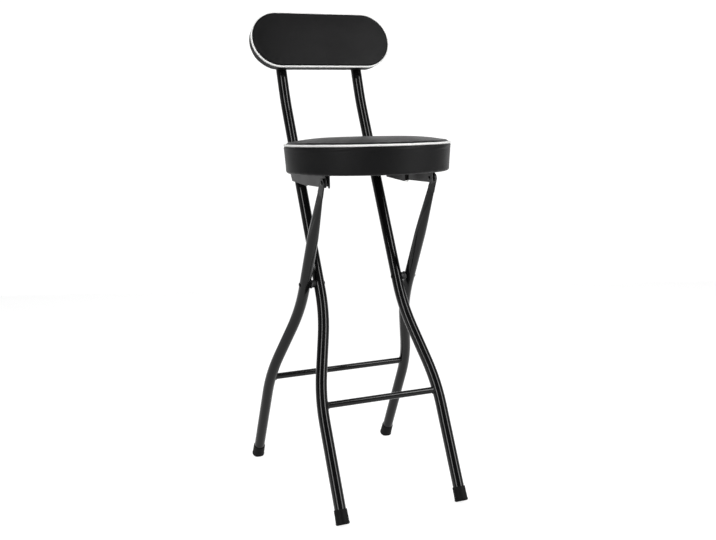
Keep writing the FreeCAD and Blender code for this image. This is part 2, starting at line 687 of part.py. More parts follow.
def bracket():
    """Right channel bracket with its web, two flanges and three screw tabs."""
    top = SEAT_UNDERSIDE_Z
    start_y = SEAT_PIVOT.y
    web = Part.makeBox(CHANNEL_WIDTH, CHANNEL_REACH, SHEET, V(CHANNEL_INNER_X, start_y, top - SHEET))
    parts = [web, outer_flange(), inner_flange()]
    for at in seat_screw_places():
        corner = V(CHANNEL_INNER_X - TAB_REACH, at.y - TAB_HALF_WIDTH, top - SHEET)
        parts.append(Part.makeBox(TAB_REACH + SHEET, 2 * TAB_HALF_WIDTH, SHEET, corner))
    holes = [rod(SEAT_PIVOT, SEAT_PIVOT + V(2 * CHANNEL_OUTER_X, 0, 0), PIVOT_R)]
    holes += [tab_screw(at, 0.0) for at in seat_screw_places()]
    return fuse(parts).cut(holes)


def seat_rivet():
    """The rivet through the right channel and the rear leg's tongue outside it."""
    inner = SEAT_PIVOT + V(CHANNEL_INNER_X, 0, 0)
    outer = SEAT_PIVOT + V(TONGUE_OUTER_X + CLEARANCE, 0, 0)
    return fuse([
        rod(inner, outer, PIVOT_R),
        domed_head(inner, -ACROSS, SEAT_HEAD_R, SEAT_HEAD_HEIGHT),
        domed_head(outer, ACROSS, SEAT_HEAD_R, SEAT_HEAD_HEIGHT),
    ])


def seat_washer():
    """The washer between the right tongue and its channel."""
    start, end = SEAT_PIVOT + V(TONGUE_INNER_X - WASHER, 0, 0), SEAT_PIVOT + V(TONGUE_INNER_X, 0, 0)
    return rod(start, end, WASHER_R, PIVOT_R + PIVOT_PLAY)


def long_turned(points):
    """A backrest piece: half turned at each end, straight between, leaning with the tubes."""
    reach = BACK_WIDTH / 2 - BACK_HEIGHT / 2
    face = outline(points, lambda r, h: V(reach, r, h))
    end = face.revolve(V(reach, 0, 0), V(0, 0, 1), -180)
    straight = face.extrude(V(-2 * reach, 0, 0))
    pieces = both_sides(end) + [straight, straight.mirror(V(0, 0, 0), V(0, 1, 0))]
    solid = fuse(pieces)
    lean = FreeCAD.Rotation(ACROSS, 90 - BACK_LEAN)
    solid.Placement = FreeCAD.Placement(back_origin() + BACK_FRONT * TUBE_R, lean)
    return solid


def backrest_slab(height_from, height_to):
    """A thick slice of space, square to the backrest, between two depths from the tubes."""
    span = 2 * BACK_WIDTH
    slab = Part.makeBox(span, span, height_to - height_from, V(-span / 2, -span / 2, height_from))
    lean = FreeCAD.Rotation(ACROSS, 90 - BACK_LEAN)
    slab.Placement = FreeCAD.Placement(back_origin() + BACK_FRONT * TUBE_R, lean)
    return slab


def back_screws():
    """Four screws through the upper tubes, with washer-like heads behind them."""
    screws = []
    for at in back_screw_places():
        head = at - BACK_FRONT * TUBE_R
        tip = at + BACK_FRONT * (TUBE_R + VINYL + BACK_BOARD - NUT_FLANGE)
        cap = domed_head(head, -BACK_FRONT, BACK_SCREW_HEAD_R, BACK_SCREW_HEAD)
        screws += both_sides(fuse([rod(head, tip, BACK_SCREW_R), cap]))
    return screws


def back_nuts():
    """Four tee nuts let into the front of the backrest board."""
    nuts = []
    for at in back_screw_places():
        board_front = at + BACK_FRONT * (TUBE_R + VINYL + BACK_BOARD)
        barrel = rod(board_front - BACK_FRONT * NUT_BARREL, board_front, NUT_R)
        flange = rod(board_front - BACK_FRONT * NUT_FLANGE, board_front, NUT_FLANGE_R)
        nuts += both_sides(fuse([barrel, flange]).cut(back_screws()))
    return nuts


def backrest_board():
    """The plywood oval behind the backrest foam."""
    board = long_turned(BACK_PAD.core()).common(backrest_slab(VINYL, VINYL + BACK_BOARD))
    return board.cut(back_screws() + back_nuts())


def backrest_foam():
    """The crowned foam in front of the backrest board."""
    return long_turned(BACK_PAD.core()).cut(backrest_slab(0, VINYL + BACK_BOARD))


def backrest_back_panel():
    """The thin cover over the back of the board, inside the hem."""
    radius = BACK_PAD.hem_r
    panel = long_turned([(0, 0), (radius, 0), (radius, VINYL), (0, VINYL)])
    return panel.cut(back_screws())


def backrest_piping():
    """The round cord sewn in between the backrest's side and front."""
    r, h, reach = BACK_PAD.loop_r, BACK_DEPTH, PIPING_R
    return long_turned([(r - reach, h), ((r, h + reach), (r + reach, h)), ((r, h - reach), (r - reach, h))])


def sided(name, right_shape):
    """Two nodes, named right and left, from the shape on the right."""
    right, left = both_sides(right_shape)
    return {name + "_right": right, name + "_left": left}


def build():
    """Every node of the stool by name."""
    nodes = {}
    nodes.update(sided("front_leg_tube", front_leg()))
    nodes.update(sided("rear_leg_tube", rear_leg()))
    nodes["front_footrest_bar"] = footrest_bar(
        front_line, FRONT_HALF_SPACING + FRONT_FLARE, FRONT_BAR_Z, front_leg_path())
    nodes["rear_footrest_bar"] = footrest_bar(
        rear_line, REAR_HALF_SPACING + REAR_FLARE, REAR_BAR_Z, rear_leg_path())
    nodes.update(sided("front_foot", foot(front_line, FRONT_HALF_SPACING + FRONT_FLARE, FRONT_LEAN)))
    nodes.update(sided("rear_foot", foot(rear_line, REAR_HALF_SPACING + REAR_FLARE, REAR_LEAN)))
    nodes["tube_end_plugs"] = Part.makeCompound(both_sides(end_plug()))
    nodes["fold_pivot_rivets"] = Part.makeCompound(both_sides(fold_rivet()))
    nodes["fold_pivot_spacers"] = Part.makeCompound(both_sides(fold_spacer()))
    nodes["seat_hook_pins"] = Part.makeCompound(both_sides(hook_pin()))
    nodes["seat_board"] = seat_board()
    nodes["seat_foam"] = seat_foam()
    nodes["seat_side_band"] = seat_turned(SEAT_PAD.side_band())
    nodes["seat_top_panel"] = seat_turned(SEAT_PAD.top_panel())
    nodes["seat_piping"] = seat_piping()
    nodes["seat_underside_cloth"] = underside_cloth()
    nodes.update(sided("seat_bracket", bracket()))
    nodes["bracket_screws"] = Part.makeCompound(bracket_screws())
    nodes["seat_pivot_rivets"] = Part.makeCompound(both_sides(seat_rivet()))
    nodes["seat_pivot_washers"] = Part.makeCompound(both_sides(seat_washer()))
    nodes["rubber_buffers"] = Part.makeCompound(both_sides(buffer()))
    nodes["buffer_screws"] = Part.makeCompound(both_sides(buffer_screw()))
    nodes["backrest_board"] = backrest_board()
    nodes["backrest_foam"] = backrest_foam()
    nodes["backrest_side_band"] = long_turned(BACK_PAD.side_band())
    nodes["backrest_front_panel"] = long_turned(BACK_PAD.top_panel())
    nodes["backrest_back_panel"] = backrest_back_panel()
    nodes["backrest_piping"] = backrest_piping()
    nodes["backrest_screws"] = Part.makeCompound(back_screws())
    nodes["backrest_tee_nuts"] = Part.makeCompound(back_nuts())
    return nodes


def main():
    """Build every node and write one file for each."""
    os.makedirs("parts", exist_ok=True)
    for name, shape in build().items():
        shape.exportStep(os.path.join("parts", name + ".step"))
        print(name, len(shape.Solids), "solids,", round(shape.Volume / 1000, 2), "cm3", shape.isValid())


main()
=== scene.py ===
"""The looks of a folding bar stool: round padded seat, oval padded backrest, crossed black tube legs."""
import logging
import math
from collections.abc import Callable
from dataclasses import dataclass, field
from enum import Enum

import bmesh
import bpy
from mathutils import Matrix, Vector, noise
from mathutils.bvhtree import BVHTree
from mathutils.interpolate import poly_3d_calc


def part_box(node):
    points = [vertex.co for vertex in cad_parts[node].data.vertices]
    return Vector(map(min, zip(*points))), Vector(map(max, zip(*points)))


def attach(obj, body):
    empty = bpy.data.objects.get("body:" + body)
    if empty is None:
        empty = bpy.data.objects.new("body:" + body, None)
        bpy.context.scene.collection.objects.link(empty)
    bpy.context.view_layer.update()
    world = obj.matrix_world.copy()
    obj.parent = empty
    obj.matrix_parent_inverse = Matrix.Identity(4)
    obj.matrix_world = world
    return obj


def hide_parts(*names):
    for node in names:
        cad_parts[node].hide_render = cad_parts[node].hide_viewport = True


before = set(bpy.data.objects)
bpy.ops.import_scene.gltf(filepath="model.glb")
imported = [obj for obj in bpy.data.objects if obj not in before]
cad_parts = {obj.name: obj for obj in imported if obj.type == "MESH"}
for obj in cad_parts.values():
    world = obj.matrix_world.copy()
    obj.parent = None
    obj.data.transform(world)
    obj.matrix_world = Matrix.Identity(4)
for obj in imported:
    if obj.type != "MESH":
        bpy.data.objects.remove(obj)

LOG = logging.getLogger("stool")
MM = 0.001
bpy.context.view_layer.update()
PHOTO_SIZE = (716, 540)
FRONT_LEAN = math.radians(25.42)
REAR_LEAN = math.radians(28.67)
BACK_LEAN = math.radians(18.0)
TUBE_R = 11.0 * MM
BAR_R = 6.35 * MM
VINYL = 1.2 * MM
ARC_STEPS = 8
Source = bpy.types.NodeSocket | float | tuple[float, ...]


class Body(Enum):
    """The bodies that pieces ride on."""

    FRONT = "back_frame"
    REAR = "rear_legs"
    SEAT = "seat"


class Slot(Enum):
    """The material slots of the record."""

    STEEL = "black_gloss_steel"
    RUBBER = "black_rubber"
    VINYL = "black_vinyl"
    PIPING = "white_piping"
    FOAM = "foam"
    CLOTH = "black_cloth"
    PLY = "plywood"
    ZINC = "zinc"
    PLASTIC = "black_plastic"


class Graph:
    """A node tree with short ways to add nodes and join them."""

    def __init__(self, tree: bpy.types.NodeTree) -> None:
        """Wrap a tree.

        Args:
            tree: The shader tree or node group to build in.
        """
        self.tree = tree

    def add(self, kind: str, **settings: object) -> bpy.types.Node:
        """Add a node.

        Args:
            kind: The node's type name after "ShaderNode".
            settings: Attributes to set on the node.

        Returns:
            The new node.
        """
        node = self.tree.nodes.new("ShaderNode" + kind)
        for name, value in settings.items():
            setattr(node, name, value)
        return node

    def feed(self, socket: bpy.types.NodeSocket, source: Source) -> None:
        """Join a source socket to an input, or set the input's value.

        Args:
            socket: The input socket.
            source: An output socket, a number or a tuple.
        """
        if isinstance(source, bpy.types.NodeSocket):
            self.tree.links.new(source, socket)
        else:
            socket.default_value = source

    def maths(self, operation: str, first: Source, second: Source = 0.0) -> bpy.types.NodeSocket:
        """Add a Math node.

        Args:
            operation: The Math node's operation.
            first: Its first value or socket.
            second: Its second value or socket.

        Returns:
            The result's socket.
        """
        node = self.add("Math", operation=operation)
        self.feed(node.inputs[0], first)
        self.feed(node.inputs[1], second)
        return node.outputs[0]

    def ranged(self, value: Source, low: float, high: float, to_low: float = 0.0,
               to_high: float = 1.0) -> bpy.types.NodeSocket:
        """Map a value smoothly from one range to another.

        Args:
            value: The value's socket.
            low: Start of the range that it comes from.
            high: End of that range.
            to_low: Start of the range that it goes to.
            to_high: End of that range.

        Returns:
            The mapped value's socket.
        """
        node = self.add("MapRange", interpolation_type="SMOOTHSTEP")
        for name, number in (("From Min", low), ("From Max", high), ("To Min", to_low),
                             ("To Max", to_high)):
            node.inputs[name].default_value = number
        self.feed(node.inputs["Value"], value)
        return node.outputs["Result"]

    def blended(self, mask: Source, first: Source, second: Source) -> bpy.types.NodeSocket:
        """Mix two colours.

        Args:
            mask: 0 for the first colour, 1 for the second.
            first: The first colour.
            second: The second colour.

        Returns:
            The mixed colour's socket.
        """
        node = self.add("Mix", data_type="RGBA")
        self.feed(node.inputs[0], mask)
        self.feed(node.inputs[6], first)
        self.feed(node.inputs[7], second)
        return node.outputs[2]

    def scaled(self, place: Source, size: Source) -> bpy.types.NodeSocket:
        """Scale a place so that one pattern cell has a real size.

        Args:
            place: The place's socket.
            size: Cell size in metres, a number or a socket.

        Returns:
            The scaled place's socket.
        """
        node = self.add("VectorMath", operation="SCALE")
        self.feed(node.inputs[0], place)
        self.feed(node.inputs["Scale"], self.maths("DIVIDE", 1.0, size))
        return node.outputs[0]

    def cloud(self, place: Source, detail: float = 3.0) -> bpy.types.NodeSocket:
        """Add a noise texture whose cells are one unit.

        Args:
            place: Scaled place.
            detail: Octaves of detail.

        Returns:
            The noise value's socket.
        """
        node = self.add("TexNoise")
        node.inputs["Scale"].default_value = 1.0
        node.inputs["Detail"].default_value = detail
        self.feed(node.inputs["Vector"], place)
        return node.outputs[0]


class Effects:
    """Node groups for effects that several finishes share, each built once."""

    def __init__(self) -> None:
        """Build every group."""
        self.pebble = self._group("Pebble", self._pebble)
        self.handling = self._group("Handling", self._handling)
        self.weave = self._group("Weave", self._weave)
        self.ripple = self._group("Ripple", self._ripple)

    def _group(self, name: str, build: Callable[[Graph, Source, Source], Source]
               ) -> bpy.types.NodeTree:
        """Make a group that turns a place and a cell size into one value.

        Args:
            name: The group's name.
            build: Adds the group's nodes and returns the value's socket.

        Returns:
            The group's tree.
        """
        tree = bpy.data.node_groups.new(name, "ShaderNodeTree")
        tree.interface.new_socket("Place", in_out="INPUT", socket_type="NodeSocketVector")
        tree.interface.new_socket("Size", in_out="INPUT", socket_type="NodeSocketFloat")
        tree.interface.new_socket("Value", in_out="OUTPUT", socket_type="NodeSocketFloat")
        source = tree.nodes.new("NodeGroupInput")
        target = tree.nodes.new("NodeGroupOutput")
        graph = Graph(tree)
        graph.feed(target.inputs[0], build(graph, source.outputs[0], source.outputs[1]))
        return tree

    @staticmethod
    def _pebble(graph: Graph, place: Source, size: Source) -> Source:
        """Rounded grain cells with valleys between them, as on embossed vinyl.

        Args:
            graph: The group's graph.
            place: The place's socket.
            size: The cell size's socket.

        Returns:
            The height, 0 in the valleys.
        """
        at = graph.scaled(place, size)
        cells = graph.add("TexVoronoi", feature="SMOOTH_F1")
        cells.inputs["Scale"].default_value = 1.0
        cells.inputs["Smoothness"].default_value = 0.35
        graph.feed(cells.inputs["Vector"], at)
        domes = graph.ranged(cells.outputs["Distance"], 0.1, 0.75, 1.0, 0.0)
        fine = graph.cloud(graph.scaled(at, 0.35))
        return graph.maths("ADD", graph.maths("MULTIPLY", domes, 0.8),
                           graph.maths("MULTIPLY", fine, 0.25))

    @staticmethod
    def _handling(graph: Graph, place: Source, size: Source) -> Source:
        """Soft uneven patches left by handling, cleaning and dust.

        Args:
            graph: The group's graph.
            place: The place's socket.
            size: The cell size's socket.

        Returns:
            How far the surface is worn, from 0 to 1.
        """
        at = graph.scaled(place, size)
        broad = graph.ranged(graph.cloud(at, 4.0), 0.38, 0.68)
        fine = graph.ranged(graph.cloud(graph.scaled(at, 0.13), 2.0), 0.3, 0.8)
        spots = graph.maths("ADD", graph.maths("MULTIPLY", fine, 0.5), 0.5)
        return graph.maths("MULTIPLY", broad, spots)

    @staticmethod
    def _weave(graph: Graph, place: Source, size: Source) -> Source:
        """Crossed threads of a plain weave in the X and Y directions.

        Args:
            graph: The group's graph.
            place: The place's socket.
            size: The cell size's socket.

        Returns:
            The height of the threads.
        """
        split = graph.add("SeparateXYZ")
        graph.feed(split.inputs[0], graph.scaled(place, size))
        across, along = [graph.maths("SINE", graph.maths("MULTIPLY", split.outputs[axis], math.pi))
                         for axis in (0, 1)]
        over = graph.maths("MULTIPLY", graph.maths("MULTIPLY", across, along), 0.3)
        threads = graph.maths("ADD", graph.maths("ABSOLUTE", across), graph.maths("ABSOLUTE", along))
        return graph.maths("ADD", graph.maths("MULTIPLY", threads, 0.5), over)

    @staticmethod
    def _ripple(graph: Graph, place: Source, size: Source) -> Source:
        """The faint unevenness of a sprayed, plated or moulded skin.

        Args:
            graph: The group's graph.
            place: The place's socket.
            size: The cell size's socket.

        Returns:
            The height.
        """
        at = graph.scaled(place, size)
        return graph.maths("ADD", graph.maths("MULTIPLY", graph.cloud(at, 1.0), 0.75),
                           graph.maths("MULTIPLY", graph.cloud(graph.scaled(at, 0.2), 1.0), 0.25))


@dataclass(frozen=True)
class Finish:
    """A surface finish: its colour, its gloss, its grain and how it has been handled.

    The colour and the roughness run from the fresh to the worn surface. The cell is the size of the
    grain, the relief its height, and the patch the size of the worn areas.
    """

    name: str
    slot: Slot
    colour: tuple[float, float, float]
    worn: tuple[float, float, float]
    rough: tuple[float, float]
    effect: str
    cell: float
    relief: float
    patch: float = 40 * MM
    specular: float = 0.5
    metallic: float = 0.0
    sheen: float = 0.0
    lean: float = 0.0
    # painted shade: share of the colour left in the grain's valleys
    valley_shade: float = 0.7

    def material(self, effects: Effects) -> bpy.types.Material:
        """Make the material.

        Args:
            effects: The shared node groups.

        Returns:
            The finished material.
        """
        material = bpy.data.materials.new(self.name)
        material.use_nodes = True
        material.diffuse_color = (*self.colour, 1.0)
        graph = Graph(material.node_tree)
        shader = material.node_tree.nodes["Principled BSDF"]
        shader.inputs["Specular IOR Level"].default_value = self.specular
        shader.inputs["Metallic"].default_value = self.metallic
        shader.inputs["Sheen Weight"].default_value = self.sheen
        place = self._place(graph)
        worn = self._effect(graph, effects.handling, place, self.patch)
        height = self._effect(graph, getattr(effects, self.effect), place, self.cell)
        graph.feed(shader.inputs["Base Color"], self._coloured(graph, place, worn, height))
        graph.feed(shader.inputs["Roughness"], graph.ranged(worn, 0.0, 1.0, *self.rough))
        bump = graph.add("Bump")
        bump.inputs["Distance"].default_value = self.relief
        graph.feed(bump.inputs["Height"], height)
        graph.feed(shader.inputs["Normal"], bump.outputs[0])
        return material

    def _place(self, graph: Graph) -> bpy.types.NodeSocket:
        """The place on the object, turned where the piece leans.

        Args:
            graph: The material's graph.

        Returns:
            The place's socket.
        """
        place = graph.add("TexCoord").outputs["Object"]
        if self.lean:
            turn = graph.add("Mapping", vector_type="TEXTURE")
            turn.inputs["Rotation"].default_value = (self.lean, 0.0, 0.0)
            graph.feed(turn.inputs["Vector"], place)
            place = turn.outputs[0]
        return place

    @staticmethod
    def _effect(graph: Graph, tree: bpy.types.NodeTree, place: Source, size: float
                ) -> bpy.types.NodeSocket:
        """Place a shared effect.

        Args:
            graph: The material's graph.
            tree: The shared group.
            place: The place's socket.
            size: Cell size in metres.

        Returns:
            The effect's value.
        """
        node = graph.add("Group")
        node.node_tree = tree
        graph.feed(node.inputs["Place"], place)
        node.inputs["Size"].default_value = size
        return node.outputs["Value"]

    def _coloured(self, graph: Graph, place: Source, worn: Source, height: Source) -> Source:
        """The colour: worn patches over the plain colour, and painted shade in the grain's valleys.

        Args:
            graph: The material's graph.
            place: The place's socket, not used here.
            worn: How far the surface is worn.
            height: The grain's height.

        Returns:
            The colour's socket.
        """
        colour = graph.blended(worn, (*self.colour, 1.0), (*self.worn, 1.0))
        # painted shade: the colour darkened in the grain's valleys, standing in for the shade of the
        # bumps
        painted_valley_colour = tuple(self.valley_shade * channel for channel in self.colour)
        return graph.blended(graph.ranged(height, 0.0, 0.5, 1.0, 0.0), colour, (*painted_valley_colour, 1.0))


@dataclass(frozen=True)
class Ferrule(Finish):
    """Foot rubber, greyed by dust where it meets the floor."""

    dust: tuple[float, float, float] = (0.02, 0.0195, 0.0185)
    dust_height: float = 4 * MM
    dust_share: float = 0.55

    def _coloured(self, graph: Graph, place: Source, worn: Source, height: Source) -> Source:
        """The plain rubber with floor dust low down.

        Args:
            graph: The material's graph.
            place: The place's socket.
            worn: How far the surface is worn.
            height: The grain's height.

        Returns:
            The colour's socket.
        """
        colour = super()._coloured(graph, place, worn, height)
        split = graph.add("SeparateXYZ")
        graph.feed(split.inputs[0], place)
        low = graph.ranged(split.outputs[2], 0.0, self.dust_height, self.dust_share, 0.0)
        return graph.blended(graph.maths("MULTIPLY", low, worn), colour, (*self.dust, 1.0))


@dataclass(frozen=True)
class Plies(Finish):
    """Plywood, with thin layers of light and dark wood through its thickness."""

    ply: float = 1.5 * MM
    dark: tuple[float, float, float] = (0.34, 0.21, 0.12)
    dark_share: float = 0.7
    grain: float = 2 * MM
    grain_stretch: float = 0.1

    def _coloured(self, graph: Graph, place: Source, worn: Source, height: Source) -> Source:
        """Long grain in each layer, with every second layer darker.

        Args:
            graph: The material's graph.
            place: The place's socket.
            worn: How far the surface is worn, not used here.
            height: The grain's height, not used here.

        Returns:
            The colour's socket.
        """
        split = graph.add("SeparateXYZ")
        graph.feed(split.inputs[0], place)
        layer = graph.maths("SINE", graph.maths("MULTIPLY", split.outputs[2], math.pi / self.ply))
        stretch = graph.add("Mapping")
        stretch.inputs["Scale"].default_value = (self.grain_stretch, 1.0, 1.0)
        graph.feed(stretch.inputs["Vector"], place)
        grain = graph.ranged(graph.cloud(graph.scaled(stretch.outputs[0], self.grain)), 0.35, 0.7)
        wood = graph.blended(grain, (*self.colour, 1.0), (*self.worn, 1.0))
        darker = graph.ranged(layer, -0.3, 0.3, 0.0, self.dark_share)
        return graph.blended(darker, wood, (*self.dark, 1.0))


BLACK = (0.004, 0.004, 0.0043)
PAINT = Finish("gloss_black_paint", Slot.STEEL, (0.003, 0.003, 0.0033), (0.005, 0.005, 0.005),
               (0.1, 0.15), "ripple", 2.4 * MM, 0.003 * MM, patch=60 * MM, specular=0.25)
BRACKET_PAINT = Finish("bracket_paint", Slot.STEEL, (0.02, 0.02, 0.021), (0.03, 0.03, 0.03),
                       (0.38, 0.48), "ripple", 1.3 * MM, 0.02 * MM, patch=25 * MM, specular=0.4)
SEAT_VINYL = Finish("seat_vinyl", Slot.VINYL, BLACK, (0.006, 0.006, 0.0064), (0.44, 0.54), "pebble",
                    0.9 * MM, 0.06 * MM, patch=70 * MM, specular=0.1, sheen=0.05)
BACK_VINYL = Finish("backrest_vinyl", Slot.VINYL, BLACK, (0.006, 0.006, 0.0064), (0.44, 0.54),
                    "pebble", 0.9 * MM, 0.06 * MM, patch=70 * MM, specular=0.11,
                    lean=math.pi / 2 - BACK_LEAN)
WHITE_CORD = Finish("white_piping", Slot.PIPING, (0.88, 0.88, 0.87), (0.8, 0.8, 0.785), (0.36, 0.5),
                    "pebble", 0.7 * MM, 0.04 * MM, patch=30 * MM, specular=0.3)
FOOT_RUBBER = Ferrule("foot_rubber", Slot.RUBBER, (0.003, 0.003, 0.0032), (0.006, 0.006, 0.006),
                      (0.55, 0.7), "ripple", 0.7 * MM, 0.05 * MM, patch=12 * MM, specular=0.1)
BUFFER_RUBBER = Finish("buffer_rubber", Slot.RUBBER, (0.003, 0.003, 0.0032), (0.006, 0.006, 0.006),
                       (0.55, 0.7), "ripple", 0.6 * MM, 0.04 * MM, patch=8 * MM, specular=0.1)
BASE_CLOTH = Finish("underside_cloth", Slot.CLOTH, (0.014, 0.014, 0.014), (0.022, 0.022, 0.022),
                    (0.8, 0.95), "weave", 1.4 * MM, 0.25 * MM)
ZINC = Finish("zinc_plate", Slot.ZINC, (0.86, 0.86, 0.85), (0.7, 0.7, 0.69), (0.38, 0.5), "ripple",
              0.5 * MM, 0.02 * MM, patch=4 * MM, metallic=1.0)
STAPLE_WIRE = Finish("staple_wire", Slot.ZINC, (0.5, 0.5, 0.49), (0.36, 0.36, 0.35), (0.3, 0.45),
                     "ripple", 0.4 * MM, 0.02 * MM, patch=5 * MM, metallic=1.0)
NYLON = Finish("black_nylon", Slot.PLASTIC, (0.014, 0.014, 0.0145), (0.024, 0.024, 0.024),
               (0.42, 0.55), "ripple", 0.5 * MM, 0.03 * MM, patch=10 * MM)
SEAT_PLY = Plies("seat_plywood", Slot.PLY, (0.62, 0.46, 0.3), (0.5, 0.35, 0.21), (0.6, 0.75),
                 "ripple", 0.8 * MM, 0.05 * MM)
BACK_PLY = Plies("backrest_plywood", Slot.PLY, (0.62, 0.46, 0.3), (0.5, 0.35, 0.21), (0.6, 0.75),
                 "ripple", 0.8 * MM, 0.05 * MM, lean=math.pi / 2 - BACK_LEAN)
CREAM_FOAM = Finish("cream_foam", Slot.FOAM, (0.75, 0.72, 0.6), (0.68, 0.62, 0.46), (0.85, 0.95),
                    "pebble", 0.9 * MM, 0.3 * MM)


class Workshop:
    """Holds the materials and turns meshes into pieces on their bodies."""

    def __init__(self) -> None:
        """Build the shared effects."""
        self.effects = Effects()
        self.materials: dict[str, bpy.types.Material] = {}

    def dressed(self, finish: Finish) -> bpy.types.Material:
        """The material of a finish, made on first use.

        Args:
            finish: The finish.

        Returns:
            Its material.
        """
        if finish.name not in self.materials:
            self.materials[finish.name] = finish.material(self.effects)
        return self.materials[finish.name]

    def piece(self, name: str, bm: bmesh.types.BMesh, finish: Finish, body: Body,
              replaced: tuple[str, ...] = ()) -> bpy.types.Object:
        """Make a piece from a mesh that is already in place.

        Args:
            name: The piece's name.
            bm: Its mesh, which is freed.
            finish: Its finish.
            body: The body that it rides on.
            replaced: CAD nodes that it stands for.

        Returns:
            The new object.
        """
        mesh = bpy.data.meshes.new(name)
        bm.to_mesh(mesh)
        bm.free()
        mesh.materials.append(self.dressed(finish))
        mesh.shade_smooth()
        obj = bpy.data.objects.new(name, mesh)
        bpy.context.scene.collection.objects.link(obj)
        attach(obj, body.value)
        if replaced:
            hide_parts(*replaced)
        LOG.info("%s: %d faces on %s", name, len(mesh.polygons), body.value)
        return obj

    def carry(self, finish: Finish, *nodes: str) -> None:
        """Give CAD nodes that are shown as they are a finish.

        Args:
            finish: The finish.
            nodes: The nodes' names.
        """
        for name in nodes:
            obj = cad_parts[name]
            if not obj.material_slots:
                obj.data.materials.append(self.dressed(finish))
            for slot in obj.material_slots:
                slot.material = self.dressed(finish)
            LOG.info("%s carried over in %s", name, finish.name)


def sided(name: str) -> tuple[str, str]:
    """The right and left nodes of a name."""
    return name + "_right", name + "_left"


def thickened(obj: bpy.types.Object, thickness: float) -> None:
    """Give an open cover its thickness, inwards.

    Args:
        obj: The cover.
        thickness: The sheet's thickness.
    """
    wall = obj.modifiers.new("Wall", "SOLIDIFY")
    wall.thickness = thickness
    wall.offset = -1.0


def swept_round(profile: list[tuple[float, float]], reach: float, steps: int, closed: bool = False
                ) -> bmesh.types.BMesh:
    """Turn a half section about both ends of a straight middle, or about one axis.

    Args:
        profile: The half section's (radius, height) points.
        reach: Distance from the middle to each end's axis, zero for a round piece.
        steps: Steps in a full turn.
        closed: True if the section is a loop.

    Returns:
        The swept mesh.
    """
    bm = bmesh.new()
    verts = [bm.verts.new((reach, radius, height)) for radius, height in profile]
    pairs = list(zip(verts, verts[1:])) + ([(verts[-1], verts[0])] if closed else [])
    edges = [bm.edges.new(pair) for pair in pairs]
    if reach == 0:
        bmesh.ops.spin(bm, geom=verts + edges, cent=(0, 0, 0), axis=(0, 0, 1), dvec=(0, 0, 0),
                       angle=math.tau, steps=steps, use_merge=True)
    else:
        geom: list = verts + edges
        runs = steps // 4
        for side in (1, -1):
            turned = bmesh.ops.spin(bm, geom=geom, cent=(side * reach, 0, 0), axis=(0, 0, -1),
                                    dvec=(0, 0, 0), angle=math.pi, steps=steps // 2)
            last = [e for e in turned["geom_last"] if isinstance(e, bmesh.types.BMEdge)]
            for _ in range(runs):
                grown = bmesh.ops.extrude_edge_only(bm, edges=last)["geom"]
                moved = [v for v in grown if isinstance(v, bmesh.types.BMVert)]
                bmesh.ops.translate(bm, vec=(-side * 2 * reach / runs, 0, 0), verts=moved)
                last = [e for e in grown if isinstance(e, bmesh.types.BMEdge)
                        and all(v in moved for v in e.verts)]
            geom = moved + last
    bmesh.ops.remove_doubles(bm, verts=bm.verts, dist=0.02 * MM)
    bmesh.ops.recalc_face_normals(bm, faces=bm.faces)
    return bm


def circle_profile(radius: float, centre: tuple[float, float], count: int
                   ) -> list[tuple[float, float]]:
    """Points round a circle in the half section.

    Args:
        radius: The circle's radius.
        centre: Its (radius, height) centre.
        count: Number of points.

    Returns:
        The points.
    """
    return [(centre[0] + radius * math.cos(math.tau * i / count),
             centre[1] + radius * math.sin(math.tau * i / count)) for i in range(count)]


@dataclass(frozen=True)
class Sewing:
    """How the vinyl gathers along its seam and its lower edge.

    Each effect is noise with so many waves per metre, in a band of the wall or crown. Its strength
    is a share of the pad's gather.
    """

    crease_waves: tuple[float, float, float] = (22.0, 22.0, 260.0)
    crease_share: float = 3.0
    crease_below: float = 7 * MM
    crease_band: float = 6 * MM
    slack_waves: tuple[float, float, float] = (14.0, 14.0, 30.0)
    slack_share: float = 1.4
    slack_start: float = 8 * MM
    tuck_waves: float = 130.0
    tuck_share: float = 1.5
    tuck_band: float = 5 * MM
    tuck_seed: float = 3.7
    pucker_waves: float = 110.0
    pucker_share: float = 1.2
    pucker_band: float = 9 * MM
    pucker_seed: float = 9.1

    def on_wall(self, at: Vector, below: float) -> float:
        """Movement of the side wall, outwards.

        Args:
            at: A point in the pad's own axes.
            below: How far it is under the seam.

        Returns:
            The movement as a share of the gather.
        """
        crease = noise.noise(self._waved(at, self.crease_waves))
        shift = self.crease_share * crease * math.exp(
            -((below - self.crease_below) / self.crease_band) ** 2)
        slack = noise.noise(self._waved(at, self.slack_waves))
        shift += self.slack_share * slack * min(1.0, below / self.slack_start)
        tuck = noise.noise(Vector((at.x * self.tuck_waves, at.y * self.tuck_waves, self.tuck_seed)))
        return shift + self.tuck_share * tuck * math.exp(-(at.z / self.tuck_band) ** 2)

    def on_crown(self, at: Vector, inside: float) -> float:
        """Movement of the crown, upwards.

        Args:
            at: A point in the pad's own axes.
            inside: How far it is inside the side wall.

        Returns:
            The movement as a share of the gather.
        """
        waves = self.pucker_waves
        pucker = noise.noise(Vector((at.x * waves, at.y * waves, self.pucker_seed)))
        return self.pucker_share * pucker * math.exp(-(inside / self.pucker_band) ** 2)

    @staticmethod
    def _waved(at: Vector, waves: tuple[float, float, float]) -> Vector:
        """A place scaled by the waves per metre along each axis."""
        return Vector((at.x * waves[0], at.y * waves[1], at.z * waves[2]))


@dataclass(frozen=True)
class Cord:
    """The unevenness of the piping's cord; waves are per metre."""

    corners: int = 14
    steps: int = 240
    sway: float = 0.25 * MM
    sway_waves: float = 38.0
    swell: float = 0.12 * MM
    swell_waves: float = 160.0
    swell_seed: float = 5.0


@dataclass(frozen=True)
class Staple:
    """The staples that hold the hem to the board."""

    length: float = 10 * MM
    width: float = 1.2 * MM
    height: float = 0.6 * MM
    rounding: float = 0.25 * MM
    step: float = 24 * MM
    clear_of_brackets: float = 8 * MM


